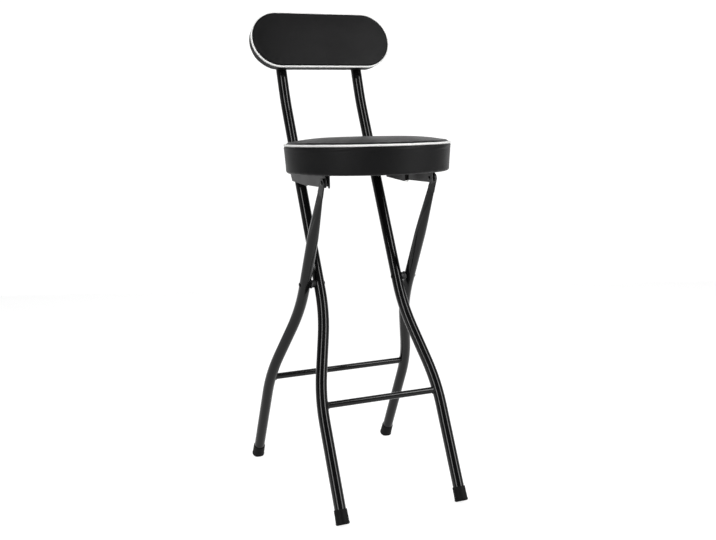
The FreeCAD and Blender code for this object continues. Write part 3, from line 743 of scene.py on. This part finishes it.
@dataclass
class Pad:
    """An upholstered pad: foam on a board, a crowned panel, a side band and a sewn-in piping.

    Its own axes have the board side at height zero and the crown upwards. Half is the distance from
    the middle line to the side wall, and reach that from the middle to each round end's axis, zero
    for a round pad. Depth is the height of the seam.
    """

    name: str
    body: Body
    place: Matrix
    half: float
    reach: float
    depth: float
    crown: float
    sag: float
    shoulder: float
    shoulder_out: float
    shoulder_end: float
    bulge: float
    edge_r: float
    stand_off: float
    board_top: float
    swell: float
    vinyl: Finish
    voxel: float = 5 * MM
    steps: int = 480
    spacing: float = 2.6 * MM
    piping_r: float = 2.5 * MM
    hem: float = 14 * MM
    rise: float = 1.5 * MM
    draw_in: float = 0.5 * MM
    seam_pull: float = 1.2 * MM
    seam_width: float = 2.6 * MM
    gather: float = 0.4 * MM
    frames: int = 20
    pressure: float = 4.0
    foam_gap: float = 1.4 * MM
    base_thickness: float = 0.5 * MM
    base_slack: float = 0.35 * MM
    base_waves: tuple[float, float] = (22.0, 70.0)
    wall_from: float = 0.9  # share of half where the side wall's own movements start
    sewing: Sewing = field(default_factory=Sewing)
    cord: Cord = field(default_factory=Cord)
    staple: Staple = field(default_factory=Staple)

    @property
    def hem_r(self) -> float:
        """Distance from the middle line to the hem's inner edge."""
        return self.half - self.edge_r - self.hem

    def profile(self, inset: float, lowered: float) -> list[tuple[float, float]]:
        """The half section from the crown's middle round to the board's middle.

        Args:
            inset: How far inside the finished outside it lies.
            lowered: How much lower the crown's middle starts, before it is stuffed.

        Returns:
            The (radius, height) points.
        """
        shoulder_r = self.half + self.shoulder_out - self.shoulder
        shoulder_h = self.depth + self.crown - self.sag
        rings = round(shoulder_r / self.spacing)
        points = []
        for i in range(rings + 1):
            height = shoulder_h + (self.sag - lowered) * (1 - (i / rings) ** 2)
            points.append((shoulder_r * i / rings, height - inset))
        arm = self.shoulder - inset
        for i in range(1, ARC_STEPS + 1):
            turn = math.radians(90 - (90 - self.shoulder_end) * i / ARC_STEPS)
            points.append((shoulder_r + arm * math.cos(turn),
                           shoulder_h - self.shoulder + arm * math.sin(turn)))
        rim_r = self.half + self.stand_off - self.piping_r - inset
        points.append((rim_r, self.depth + self.rise - inset))
        wall_top = self.depth - self.piping_r
        rows = round((wall_top - self.edge_r) / (self.spacing / 2))
        for i in range(rows + 1):
            down = i / rows
            drawn = self.draw_in * (1 + down * (3 * down - 3.5))  # most a little under the middle
            bulged = self.bulge * (1 - down ** 1.5)
            height = wall_top + (self.edge_r - wall_top) * down
            points.append((self.half + drawn + bulged - inset, height))
        edge_r = self.edge_r - inset
        lower_r = self.half + self.draw_in / 2 - self.edge_r
        for i in range(1, ARC_STEPS + 1):
            turn = math.pi / 2 * i / ARC_STEPS
            points.append((lower_r + edge_r * math.cos(turn), self.edge_r - edge_r * math.sin(turn)))
        hem_steps, board_steps = 5, 12
        points += [(lower_r + (self.hem_r - lower_r) * i / hem_steps, inset)
                   for i in range(1, hem_steps + 1)]
        return points + [(self.hem_r * (1 - i / board_steps), inset)
                         for i in range(1, board_steps + 1)]

    def out_from_middle(self, at: Vector) -> tuple[float, Vector]:
        """Distance and direction from the pad's middle line.

        Args:
            at: A point in the pad's own axes.

        Returns:
            The distance and the outward unit direction.
        """
        past = max(abs(at.x) - self.reach, 0.0)
        away = Vector((math.copysign(past, at.x), at.y, 0.0))
        return away.length, away.normalized() if away.length else Vector((0, 1, 0))

    def hold(self, at: Vector) -> float:
        """How firmly the seam, the lower wall and the board hold a point while it is stuffed.

        Args:
            at: A point in the pad's own axes.

        Returns:
            The hold, from 0 for free to 1 for fixed.
        """
        radius, _ = self.out_from_middle(at)
        near_seam = math.exp(-((at.z - self.depth) / (2 * self.piping_r)) ** 2)
        if radius < self.half - 4 * self.piping_r:
            near_seam = 0.0
        on_board = 1.0 if at.z < self.board_top else 0.0
        return max(near_seam, on_board)

    def stuffed(self) -> bmesh.types.BMesh:
        """The pad's skin, blown up against its seams by the foam inside.

        Returns:
            The closed skin in the pad's own axes.
        """
        skin = swept_round(self.profile(0.0, self.swell), self.reach, self.steps)
        blank = bpy.data.objects.new(self.name + "_blank", bpy.data.meshes.new("blank"))
        skin.to_mesh(blank.data)
        bpy.context.scene.collection.objects.link(blank)
        remesh = blank.modifiers.new("Even", "REMESH")
        remesh.mode = "VOXEL"
        remesh.voxel_size = self.voxel
        blank.data = self._evaluated(blank)
        blank.modifiers.clear()
        self._blow_up(skin, blank)
        bpy.data.objects.remove(blank)
        return skin

    @staticmethod
    def _evaluated(obj: bpy.types.Object) -> bpy.types.Mesh:
        """The mesh that an object's modifiers make.

        Args:
            obj: The object.

        Returns:
            A new mesh.
        """
        depsgraph = bpy.context.evaluated_depsgraph_get()
        return bpy.data.meshes.new_from_object(obj.evaluated_get(depsgraph))

    def _blow_up(self, skin: bmesh.types.BMesh, blank: bpy.types.Object) -> None:
        """Blow the evenly meshed copy up with a cloth simulation and move the skin along with it.

        Args:
            skin: The skin that is moved.
            blank: The evenly meshed copy.
        """
        held = blank.vertex_groups.new(name="held")
        for vertex in blank.data.vertices:
            held.add([vertex.index], self.hold(vertex.co), "REPLACE")
        before = [vertex.co.copy() for vertex in blank.data.vertices]
        cloth = blank.modifiers.new("Stuffing", "CLOTH")
        cloth.settings.vertex_group_mass = held.name
        cloth.settings.use_pressure = True
        cloth.settings.uniform_pressure_force = self.pressure
        cloth.settings.effector_weights.gravity = 0.0
        scene = bpy.context.scene
        for number in range(1, self.frames + 1):
            scene.frame_set(number)
        moves = [new.co - old for new, old in zip(self._evaluated(blank).vertices, before)]
        scene.frame_set(1)
        full = sorted(move.length for move in moves)[-len(moves) // 20]  # most points move less
        moves = [move * (self.swell / max(full, move.length)) for move in moves]
        faces = [tuple(polygon.vertices) for polygon in blank.data.polygons]
        tree = BVHTree.FromPolygons(before, faces)
        for vertex in skin.verts:
            at, _, index, _ = tree.find_nearest(vertex.co)
            shares = poly_3d_calc([before[corner] for corner in faces[index]], at)
            for corner, share in zip(faces[index], shares):
                vertex.co += moves[corner] * share

    def sewn(self, bm: bmesh.types.BMesh) -> None:
        """Pull the seam in and lay the small gathers and creases of the vinyl.

        Args:
            bm: The stuffed skin.
        """
        for vertex in bm.verts:
            radius, out = self.out_from_middle(vertex.co)
            if radius < self.half / 4:
                continue
            below = self.depth - vertex.co.z
            shift = lift = 0.0
            if radius > self.half * self.wall_from:
                shift = -self.seam_pull * math.exp(-(below / self.seam_width) ** 2)
            if below > 0:
                shift += self.gather * self.sewing.on_wall(vertex.co, below)
            else:
                lift = self.gather * self.sewing.on_crown(vertex.co, self.half - radius)
            vertex.co += out * shift
            vertex.co.z += lift

    def cut(self, bm: bmesh.types.BMesh, above: bool) -> bmesh.types.BMesh:
        """One side of the skin's seam.

        Args:
            bm: The whole skin, which is kept.
            above: True for the crowned panel.

        Returns:
            The cut copy.
        """
        half = bm.copy()
        bmesh.ops.bisect_plane(half, geom=half.verts[:] + half.edges[:] + half.faces[:],
                               dist=0.01 * MM, plane_co=(0, 0, self.depth), plane_no=(0, 0, 1),
                               clear_inner=above, clear_outer=not above)
        if not above:
            inside = [f for f in half.faces if f.calc_center_median().z < 2 * VINYL
                      and self.out_from_middle(f.calc_center_median())[0] < self.hem_r]
            bmesh.ops.delete(half, geom=inside, context="FACES")
        bmesh.ops.recalc_face_normals(half, faces=half.faces)
        return half

    def placed(self, bm: bmesh.types.BMesh) -> bmesh.types.BMesh:
        """Move a mesh from the pad's own axes to its place."""
        bm.transform(self.place)
        return bm

    def build(self, shop: Workshop, top_node: str) -> None:
        """Make every piece of the pad.

        Args:
            shop: The workshop.
            top_node: The CAD node of the crowned panel.
        """
        skin = self.stuffed()
        self.sewn(skin)
        for part, above, node in (("cover", True, top_node), ("side_cover", False, "side_band")):
            cover = shop.piece(f"{self.name}_{part}", self.placed(self.cut(skin, above)), self.vinyl,
                               self.body, (f"{self.name}_{node}",))
            thickened(cover, VINYL)
        skin.free()
        self._foam(shop)
        self._piping(shop)
        self._base(shop)
        self._staples(shop)

    def _foam(self, shop: Workshop) -> None:
        """The foam inside the cover, above the board.

        Args:
            shop: The workshop.
        """
        points = [p for p in self.profile(VINYL + self.foam_gap, 0.0)
                  if p[1] > self.board_top + 0.5 * MM]
        edge = points[-1][0]
        floor, steps = self.board_top + 0.2 * MM, 4
        points += [(edge * (1 - i / steps), floor) for i in range(steps + 1)]
        foam = swept_round(points, self.reach, 120)
        block = shop.piece(f"{self.name}_foam_block", self.placed(foam), CREAM_FOAM, self.body,
                           (f"{self.name}_foam",))

    def _piping(self, shop: Workshop) -> None:
        """The white cord in the seam, with the slight unevenness of a sewn one.

        Args:
            shop: The workshop.
        """
        size = self.cord
        middle_r = self.half + self.stand_off
        ring = circle_profile(self.piping_r, (middle_r, self.depth), size.corners)
        cord = swept_round(ring, self.reach, size.steps, closed=True)
        for vertex in cord.verts:
            radius, out = self.out_from_middle(vertex.co)
            sway = noise.noise(vertex.co * size.sway_waves) * size.sway
            vertex.co += Vector((0, 0, sway))
            place = vertex.co * size.swell_waves + Vector((size.swell_seed, 0, 0))
            swell = noise.noise(place) * size.swell
            vertex.co += out * swell * (1 if radius > middle_r else -1)
        shop.piece(f"{self.name}_piping_cord", self.placed(cord), WHITE_CORD, self.body,
                   (f"{self.name}_piping",))

    def _base(self, shop: Workshop) -> None:
        """The thin cover over the board, held by the hem.

        Args:
            shop: The workshop.
        """
        rings, lift = 20, 0.6 * MM
        sheet = swept_round([(self.hem_r * i / rings, lift) for i in range(rings + 1)], self.reach, 120)
        for vertex in sheet.verts:
            broad, fine = (noise.noise(vertex.co * waves) for waves in self.base_waves)
            slack = broad + 0.5 * fine
            vertex.co.z += self.base_slack * slack
        if self.reach:
            finish, node = self.vinyl, f"{self.name}_back_panel"
        else:
            finish, node = BASE_CLOTH, f"{self.name}_underside_cloth"
        cloth = shop.piece(f"{self.name}_base_cover", self.placed(sheet), finish, self.body, (node,))
        thickened(cloth, self.base_thickness)

    def _staples(self, shop: Workshop) -> None:
        """A row of staples through the hem, clear of whatever is screwed over it.

        Args:
            shop: The workshop.
        """
        size = self.staple
        row_r = self.half - self.edge_r - self.hem / 2
        around = math.tau * row_r + 4 * self.reach
        count = round(around / size.step)
        row = bmesh.new()
        for number in range(count):
            at, turn = self._round_row(around * number / count, row_r)
            if self.covered(self.place @ at):
                continue
            staple = bmesh.ops.create_cube(row, size=1.0)["verts"]
            bmesh.ops.scale(row, vec=(size.length, size.width, size.height), verts=staple)
            bmesh.ops.rotate(row, matrix=Matrix.Rotation(turn, 3, "Z"), verts=staple)
            bmesh.ops.translate(row, vec=at, verts=staple)
        bmesh.ops.bevel(row, geom=row.edges[:], offset=size.rounding, offset_type="OFFSET",
                        segments=2, profile=0.5, affect="EDGES", material=-1)
        shop.piece(f"{self.name}_staples", self.placed(row), STAPLE_WIRE, self.body)

    def _round_row(self, along: float, row_r: float) -> tuple[Vector, float]:
        """A point and its direction on a line that runs round the pad.

        Args:
            along: Distance along the line.
            row_r: The line's distance from the middle line.

        Returns:
            The point, and the line's direction there as an angle.
        """
        half_turn, straight = math.pi * row_r, 2 * self.reach
        for side in (1, -1):
            if along < half_turn:
                turn = along / row_r
                point = Vector((side * (self.reach + row_r * math.sin(turn)),
                                side * row_r * math.cos(turn), 0))
                return point, -turn
            along -= half_turn
            if along < straight:
                return Vector((side * (self.reach - along), -side * row_r, 0)), 0.0
            along -= straight
        return Vector((self.reach, row_r, 0)), 0.0

    def covered(self, at: Vector) -> bool:
        """Whether a bracket or a tube lies over a place on the hem.

        Args:
            at: The place in the stool's axes.

        Returns:
            True if it does.
        """
        margin = self.staple.clear_of_brackets
        for name in (*sided("seat_bracket"), *sided("front_leg_tube")):
            low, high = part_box(name)
            if low.x - margin < at.x < high.x + margin and low.y - margin < at.y < high.y + margin:
                return True
        return False


def seat_pad() -> Pad:
    """The round seat, with its sizes from the frame."""
    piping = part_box("seat_piping")
    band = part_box("seat_side_band")
    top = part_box("seat_top_panel")
    piping_r, stand_off = 2.1 * MM, 1.9 * MM
    centre = (piping[0] + piping[1]) / 2
    depth = centre.z - band[0].z
    return Pad(
        name="seat", body=Body.SEAT, place=Matrix.Translation((0, centre.y, band[0].z)),
        half=piping[1].x - piping_r - stand_off, reach=0.0, depth=depth,
        crown=top[1].z - centre.z, sag=6.5 * MM, shoulder=9 * MM, shoulder_out=-0.2 * MM,
        shoulder_end=26.0, bulge=2.4 * MM, edge_r=5.5 * MM, stand_off=stand_off,
        board_top=VINYL + 12 * MM, swell=5 * MM, vinyl=SEAT_VINYL, piping_r=piping_r)


def backrest_pad() -> Pad:
    """The oval backrest, which leans with the upper tubes."""
    low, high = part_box("backrest_piping")
    centre = (low + high) / 2
    piping_r, stand_off, depth = 2.4 * MM, 1.0 * MM, 25 * MM
    half_width, half_height = high.x, 60 * MM
    turn = Matrix.Rotation(math.pi / 2 - BACK_LEAN, 4, "X")
    base = centre - turn.to_3x3() @ Vector((0, 0, depth))
    return Pad(
        name="backrest", body=Body.FRONT, place=Matrix.Translation(base) @ turn,
        half=half_height - piping_r - stand_off, reach=half_width - half_height, depth=depth,
        crown=7.6 * MM, sag=2.2 * MM, shoulder=4.4 * MM, shoulder_out=0.8 * MM,
        shoulder_end=-50.0, bulge=0.6 * MM, edge_r=4 * MM, stand_off=stand_off,
        board_top=VINYL + 9 * MM, swell=2.5 * MM, vinyl=BACK_VINYL, voxel=4 * MM,
        piping_r=piping_r, draw_in=0.25 * MM, seam_pull=0.6 * MM, gather=0.3 * MM)


@dataclass
class FootrestWelds:
    """The weld beads that join a footrest bar to its two legs."""

    bar: str
    body: Body
    lean: float
    bead_r: float = 1.5 * MM
    ripples: int = 15
    ripple_share: float = 0.12
    lump_share: float = 0.1
    lump_waves: float = 300.0

    def build(self, shop: Workshop) -> None:
        """Make both beads.

        Args:
            shop: The workshop.
        """
        low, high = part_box(self.bar)
        middle = (low + high) / 2
        leg_x = high.x + math.sqrt(TUBE_R ** 2 - BAR_R ** 2)
        beads = bmesh.new()
        for side in (1, -1):
            ring = bmesh.ops.create_circle(beads, segments=10, radius=self.bead_r)["verts"]
            bmesh.ops.translate(beads, vec=(0, BAR_R, 0), verts=ring)
            edges = list({e for v in ring for e in v.link_edges})
            bmesh.ops.spin(beads, geom=ring + edges, cent=(0, 0, 0), axis=(1, 0, 0), dvec=(0, 0, 0),
                           angle=math.tau, steps=96, use_merge=True)
            for vertex in [v for v in beads.verts if v.tag is False]:
                self._settle(vertex, side, leg_x, middle)
                vertex.tag = True
        bmesh.ops.recalc_face_normals(beads, faces=beads.faces)
        shop.piece(self.bar + "_welds", beads, PAINT, self.body)

    def _settle(self, vertex: bmesh.types.BMVert, side: int, leg_x: float, middle: Vector) -> None:
        """Lay a point of the plain ring into the corner between bar and leg.

        Args:
            vertex: The point, on a ring about the X axis.
            side: 1 on the right, -1 on the left.
            leg_x: The leg's middle line across the stool.
            middle: The bar's middle.
        """
        turn = math.atan2(vertex.co.z, vertex.co.y)
        across_leg = BAR_R * math.cos(turn - self.lean)
        saddle = leg_x - math.sqrt(TUBE_R ** 2 - across_leg ** 2)
        lump = (1 + self.ripple_share * math.sin(self.ripples * turn)
                + self.lump_share * noise.noise(vertex.co * self.lump_waves))
        out = math.hypot(vertex.co.y, vertex.co.z) - BAR_R
        radius = BAR_R + out * lump
        vertex.co = Vector((side * (saddle + vertex.co.x * lump), middle.y + radius * math.cos(turn),
                            middle.z + radius * math.sin(turn)))


@dataclass
class PivotBushes:
    """The flanged plastic bushes between the legs at the fold pivots."""

    barrel_r: float = 7.6 * MM
    flange_r: float = 9.0 * MM
    flange: float = 2.2 * MM
    bore_r: float = 3.1 * MM
    length: float = 9.6 * MM
    edge: float = 0.6 * MM

    def build(self, shop: Workshop) -> None:
        """Make both bushes, each with its flange against the rear leg.

        Args:
            shop: The workshop.
        """
        low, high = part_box("fold_pivot_spacers")
        bushes = bmesh.new()
        for side in (1, -1):
            self._bush(bushes, side, high.x, (low + high) / 2)
        bmesh.ops.recalc_face_normals(bushes, faces=bushes.faces)
        shop.piece("fold_pivot_bushes", bushes, NYLON, Body.FRONT, ("fold_pivot_spacers",))

    def _bush(self, bm: bmesh.types.BMesh, side: int, outer_x: float, middle: Vector) -> None:
        """Turn one bush about the pivot's line.

        Args:
            bm: The mesh to add it to.
            side: 1 on the right, -1 on the left.
            outer_x: Where the flange meets the rear leg.
            middle: A point on the pivot's line.
        """
        inner_x = outer_x - self.length
        profile = [(inner_x, self.bore_r), (inner_x, self.barrel_r),
                   (outer_x - self.flange - self.edge, self.barrel_r),
                   (outer_x - self.flange, self.barrel_r + self.edge),
                   (outer_x - self.flange, self.flange_r - self.edge / 2),
                   (outer_x - self.flange + self.edge / 2, self.flange_r),
                   (outer_x - self.edge / 2, self.flange_r),
                   (outer_x, self.flange_r - self.edge / 2), (outer_x, self.bore_r)]
        verts = [bm.verts.new((side * x, middle.y + radius, middle.z)) for x, radius in profile]
        edges = [bm.edges.new(pair) for pair in zip(verts, verts[1:] + verts[:1])]
        bmesh.ops.spin(bm, geom=verts + edges, cent=middle, axis=(1, 0, 0), dvec=(0, 0, 0),
                       angle=math.tau, steps=48, use_merge=True)


@dataclass(frozen=True)
class SoftBox:
    """A tall soft box beside the camera, turned towards the stool."""

    name: str
    angle: float  # degrees round the stool from the camera
    size: tuple[float, float]
    power: float
    height: float
    distance: float = 2.3


SIDE_BOXES = (SoftBox("left_box", -34.0, (0.5, 2.5), 41.0, 1.55),
              SoftBox("right_box", 61.0, (0.68, 2.6), 57.0, 1.6))


@dataclass
class Studio:
    """The pale floor, the backdrop, the soft lamps and the camera at the photograph's angle."""

    place: Vector = field(default_factory=lambda: Vector((-0.705677, -1.690200, 0.731087)))
    swing: float = math.radians(-22.8105)
    dip: float = math.radians(9.1802)
    roll: float = math.radians(-1.1915)
    focal_pixels: float = 921.356
    sensor: float = 36.0
    shift_pixels: float = 0.5
    wall_level: float = 0.45
    ceiling_level: float = 0.08
    wall_top: float = math.radians(13.0)
    ceiling_edge: float = math.radians(22.0)
    floor_size: float = 9.0
    floor_colour: float = 0.4
    floor_lift: float = 0.85
    drop_distance: float = 2.2
    drop_colour: float = 0.25
    drop_lift: float = 0.92
    aim_height: float = 0.7
    overhead_place: Vector = field(default_factory=lambda: Vector((0.0, 0.5, 2.6)))
    overhead_side: float = 2.4
    overhead_power: float = 17.0
    overhead_aim: float = 0.5

    def build(self) -> None:
        """Make everything round the stool."""
        self._camera()
        self._world()
        self._floor()
        self._backdrop()
        self._lamps()
        bpy.context.scene.view_settings.view_transform = "Standard"

    def axes(self) -> tuple[Vector, Vector, Vector]:
        """The camera's right, up and forward directions."""
        forward = Vector((-math.sin(self.swing) * math.cos(self.dip),
                          math.cos(self.swing) * math.cos(self.dip), -math.sin(self.dip)))
        level = Vector((math.cos(self.swing), math.sin(self.swing), 0))
        upright = level.cross(forward)
        right = level * math.cos(self.roll) + upright * math.sin(self.roll)
        return right, -level * math.sin(self.roll) + upright * math.cos(self.roll), forward

    def _camera(self) -> None:
        """The camera, fitted to the photograph."""
        data = bpy.data.cameras.new("photo_camera")
        data.sensor_width = self.sensor
        data.lens = self.sensor * self.focal_pixels / PHOTO_SIZE[0]
        data.shift_x = -self.shift_pixels / PHOTO_SIZE[0]
        data.shift_y = self.shift_pixels / PHOTO_SIZE[0]
        camera = bpy.data.objects.new("photo_camera", data)
        right, upwards, forward = self.axes()
        turn = Matrix((right, upwards, -forward)).transposed().to_4x4()
        camera.matrix_world = Matrix.Translation(self.place) @ turn
        bpy.context.scene.collection.objects.link(camera)
        bpy.context.scene.camera = camera

    def _world(self) -> None:
        """A room with low pale walls all round and a dim ceiling."""
        world = bpy.data.worlds.new("room")
        world.use_nodes = True
        background = world.node_tree.nodes["Background"]
        background.inputs["Color"].default_value = (1.0, 1.0, 1.0, 1.0)
        graph = Graph(world.node_tree)
        split = graph.add("SeparateXYZ")
        graph.feed(split.inputs[0], graph.add("TexCoord").outputs["Generated"])
        graph.feed(background.inputs["Strength"], graph.ranged(
            split.outputs[2], math.sin(self.wall_top), math.sin(self.ceiling_edge), self.wall_level,
            self.ceiling_level))
        bpy.context.scene.world = world

    @staticmethod
    def _white(name: str, colour: float, lift: float) -> bpy.types.Material:
        """A plain white that keeps its shadows and shows as white in the picture and in reflections.

        Args:
            name: The material's name.
            colour: Its diffuse brightness.
            lift: Light added where it is seen or reflected.

        Returns:
            The material.
        """
        material = bpy.data.materials.new(name)
        material.use_nodes = True
        graph = Graph(material.node_tree)
        shader = material.node_tree.nodes["Principled BSDF"]
        shader.inputs["Base Color"].default_value = (colour, colour, colour, 1.0)
        shader.inputs["Roughness"].default_value = 0.9
        shader.inputs["Specular IOR Level"].default_value = 0.0
        shader.inputs["Emission Color"].default_value = (1.0, 1.0, 1.0, 1.0)
        path = graph.add("LightPath")
        seen = graph.maths("MAXIMUM", path.outputs["Is Camera Ray"], path.outputs["Is Glossy Ray"])
        seen = graph.maths("MAXIMUM", seen, path.outputs["Is Transmission Ray"])
        graph.feed(shader.inputs["Emission Strength"], graph.maths("MULTIPLY", seen, lift))
        return material

    def _plane(self, name: str, size: float, place: Matrix, material: bpy.types.Material) -> None:
        """A flat stage piece.

        Args:
            name: The object's name.
            size: Its side.
            place: Where it stands.
            material: Its material.
        """
        bm = bmesh.new()
        bmesh.ops.create_grid(bm, x_segments=1, y_segments=1, size=size / 2, matrix=place)
        mesh = bpy.data.meshes.new(name)
        bm.to_mesh(mesh)
        bm.free()
        mesh.materials.append(material)
        obj = bpy.data.objects.new(name, mesh)
        bpy.context.scene.collection.objects.link(obj)

    def _floor(self) -> None:
        """The floor, which keeps the stool's shadow."""
        white = self._white("pale_floor", self.floor_colour, self.floor_lift)
        self._plane("floor", self.floor_size, Matrix.Identity(4), white)

    def _backdrop(self) -> None:
        """The white behind the stool, square to the camera."""
        _, _, forward = self.axes()
        ahead = Vector((forward.x, forward.y, 0)).normalized()
        turn = (-ahead).to_track_quat("Z", "Y").to_matrix().to_4x4()
        place = Matrix.Translation(ahead * self.drop_distance) @ turn
        white = self._white("backdrop", self.drop_colour, self.drop_lift)
        self._plane("backdrop", 2 * self.drop_distance, place, white)

    def _lamps(self) -> None:
        """Two tall soft boxes beside the camera and a broad soft light overhead."""
        _, _, forward = self.axes()
        back = Vector((-forward.x, -forward.y, 0)).normalized()
        for box in SIDE_BOXES:
            turned = Matrix.Rotation(math.radians(box.angle), 3, "Z") @ back
            place = turned * box.distance + Vector((0, 0, box.height))
            self._lamp(box.name, place, Vector((0, 0, self.aim_height)), box.size, box.power)
        self._lamp("overhead", self.overhead_place, Vector((0, 0, self.overhead_aim)),
                   (self.overhead_side, self.overhead_side), self.overhead_power)

    @staticmethod
    def _lamp(name: str, at: Vector, towards: Vector, size: tuple[float, float], power: float) -> None:
        """A soft box.

        Args:
            name: The lamp's name.
            at: Its middle.
            towards: The point that it faces.
            size: Its width and height.
            power: Its power in watts.
        """
        data = bpy.data.lights.new(name, "AREA")
        data.shape = "RECTANGLE"
        data.size, data.size_y = size
        data.energy = power
        lamp = bpy.data.objects.new(name, data)
        lamp.matrix_world = Matrix.Translation(at) @ (towards - at).to_track_quat(
            "-Z", "Y").to_matrix().to_4x4()
        bpy.context.scene.collection.objects.link(lamp)


def dress_carried_nodes(shop: Workshop) -> None:
    """Finish the frame's own nodes.

    Args:
        shop: The workshop.
    """
    shop.carry(PAINT, *sided("front_leg_tube"), *sided("rear_leg_tube"), "front_footrest_bar",
               "rear_footrest_bar", "fold_pivot_rivets", "seat_hook_pins", "seat_pivot_rivets")
    shop.carry(BRACKET_PAINT, *sided("seat_bracket"))
    shop.carry(FOOT_RUBBER, *sided("front_foot"), *sided("rear_foot"))
    shop.carry(BUFFER_RUBBER, "rubber_buffers")
    shop.carry(NYLON, "tube_end_plugs", "seat_pivot_washers")
    shop.carry(ZINC, "bracket_screws", "buffer_screws", "backrest_screws", "backrest_tee_nuts")
    shop.carry(SEAT_PLY, "seat_board")
    shop.carry(BACK_PLY, "backrest_board")


def main() -> None:
    """Build the looks of the whole stool."""
    logging.basicConfig(level=logging.INFO, format="%(name)s: %(message)s")
    Studio().build()
    shop = Workshop()
    dress_carried_nodes(shop)
    seat_pad().build(shop, "top_panel")
    backrest_pad().build(shop, "front_panel")
    PivotBushes().build(shop)
    FootrestWelds("front_footrest_bar", Body.FRONT, -FRONT_LEAN).build(shop)
    FootrestWelds("rear_footrest_bar", Body.REAR, REAR_LEAN).build(shop)


if __name__ == "__main__":
    main()
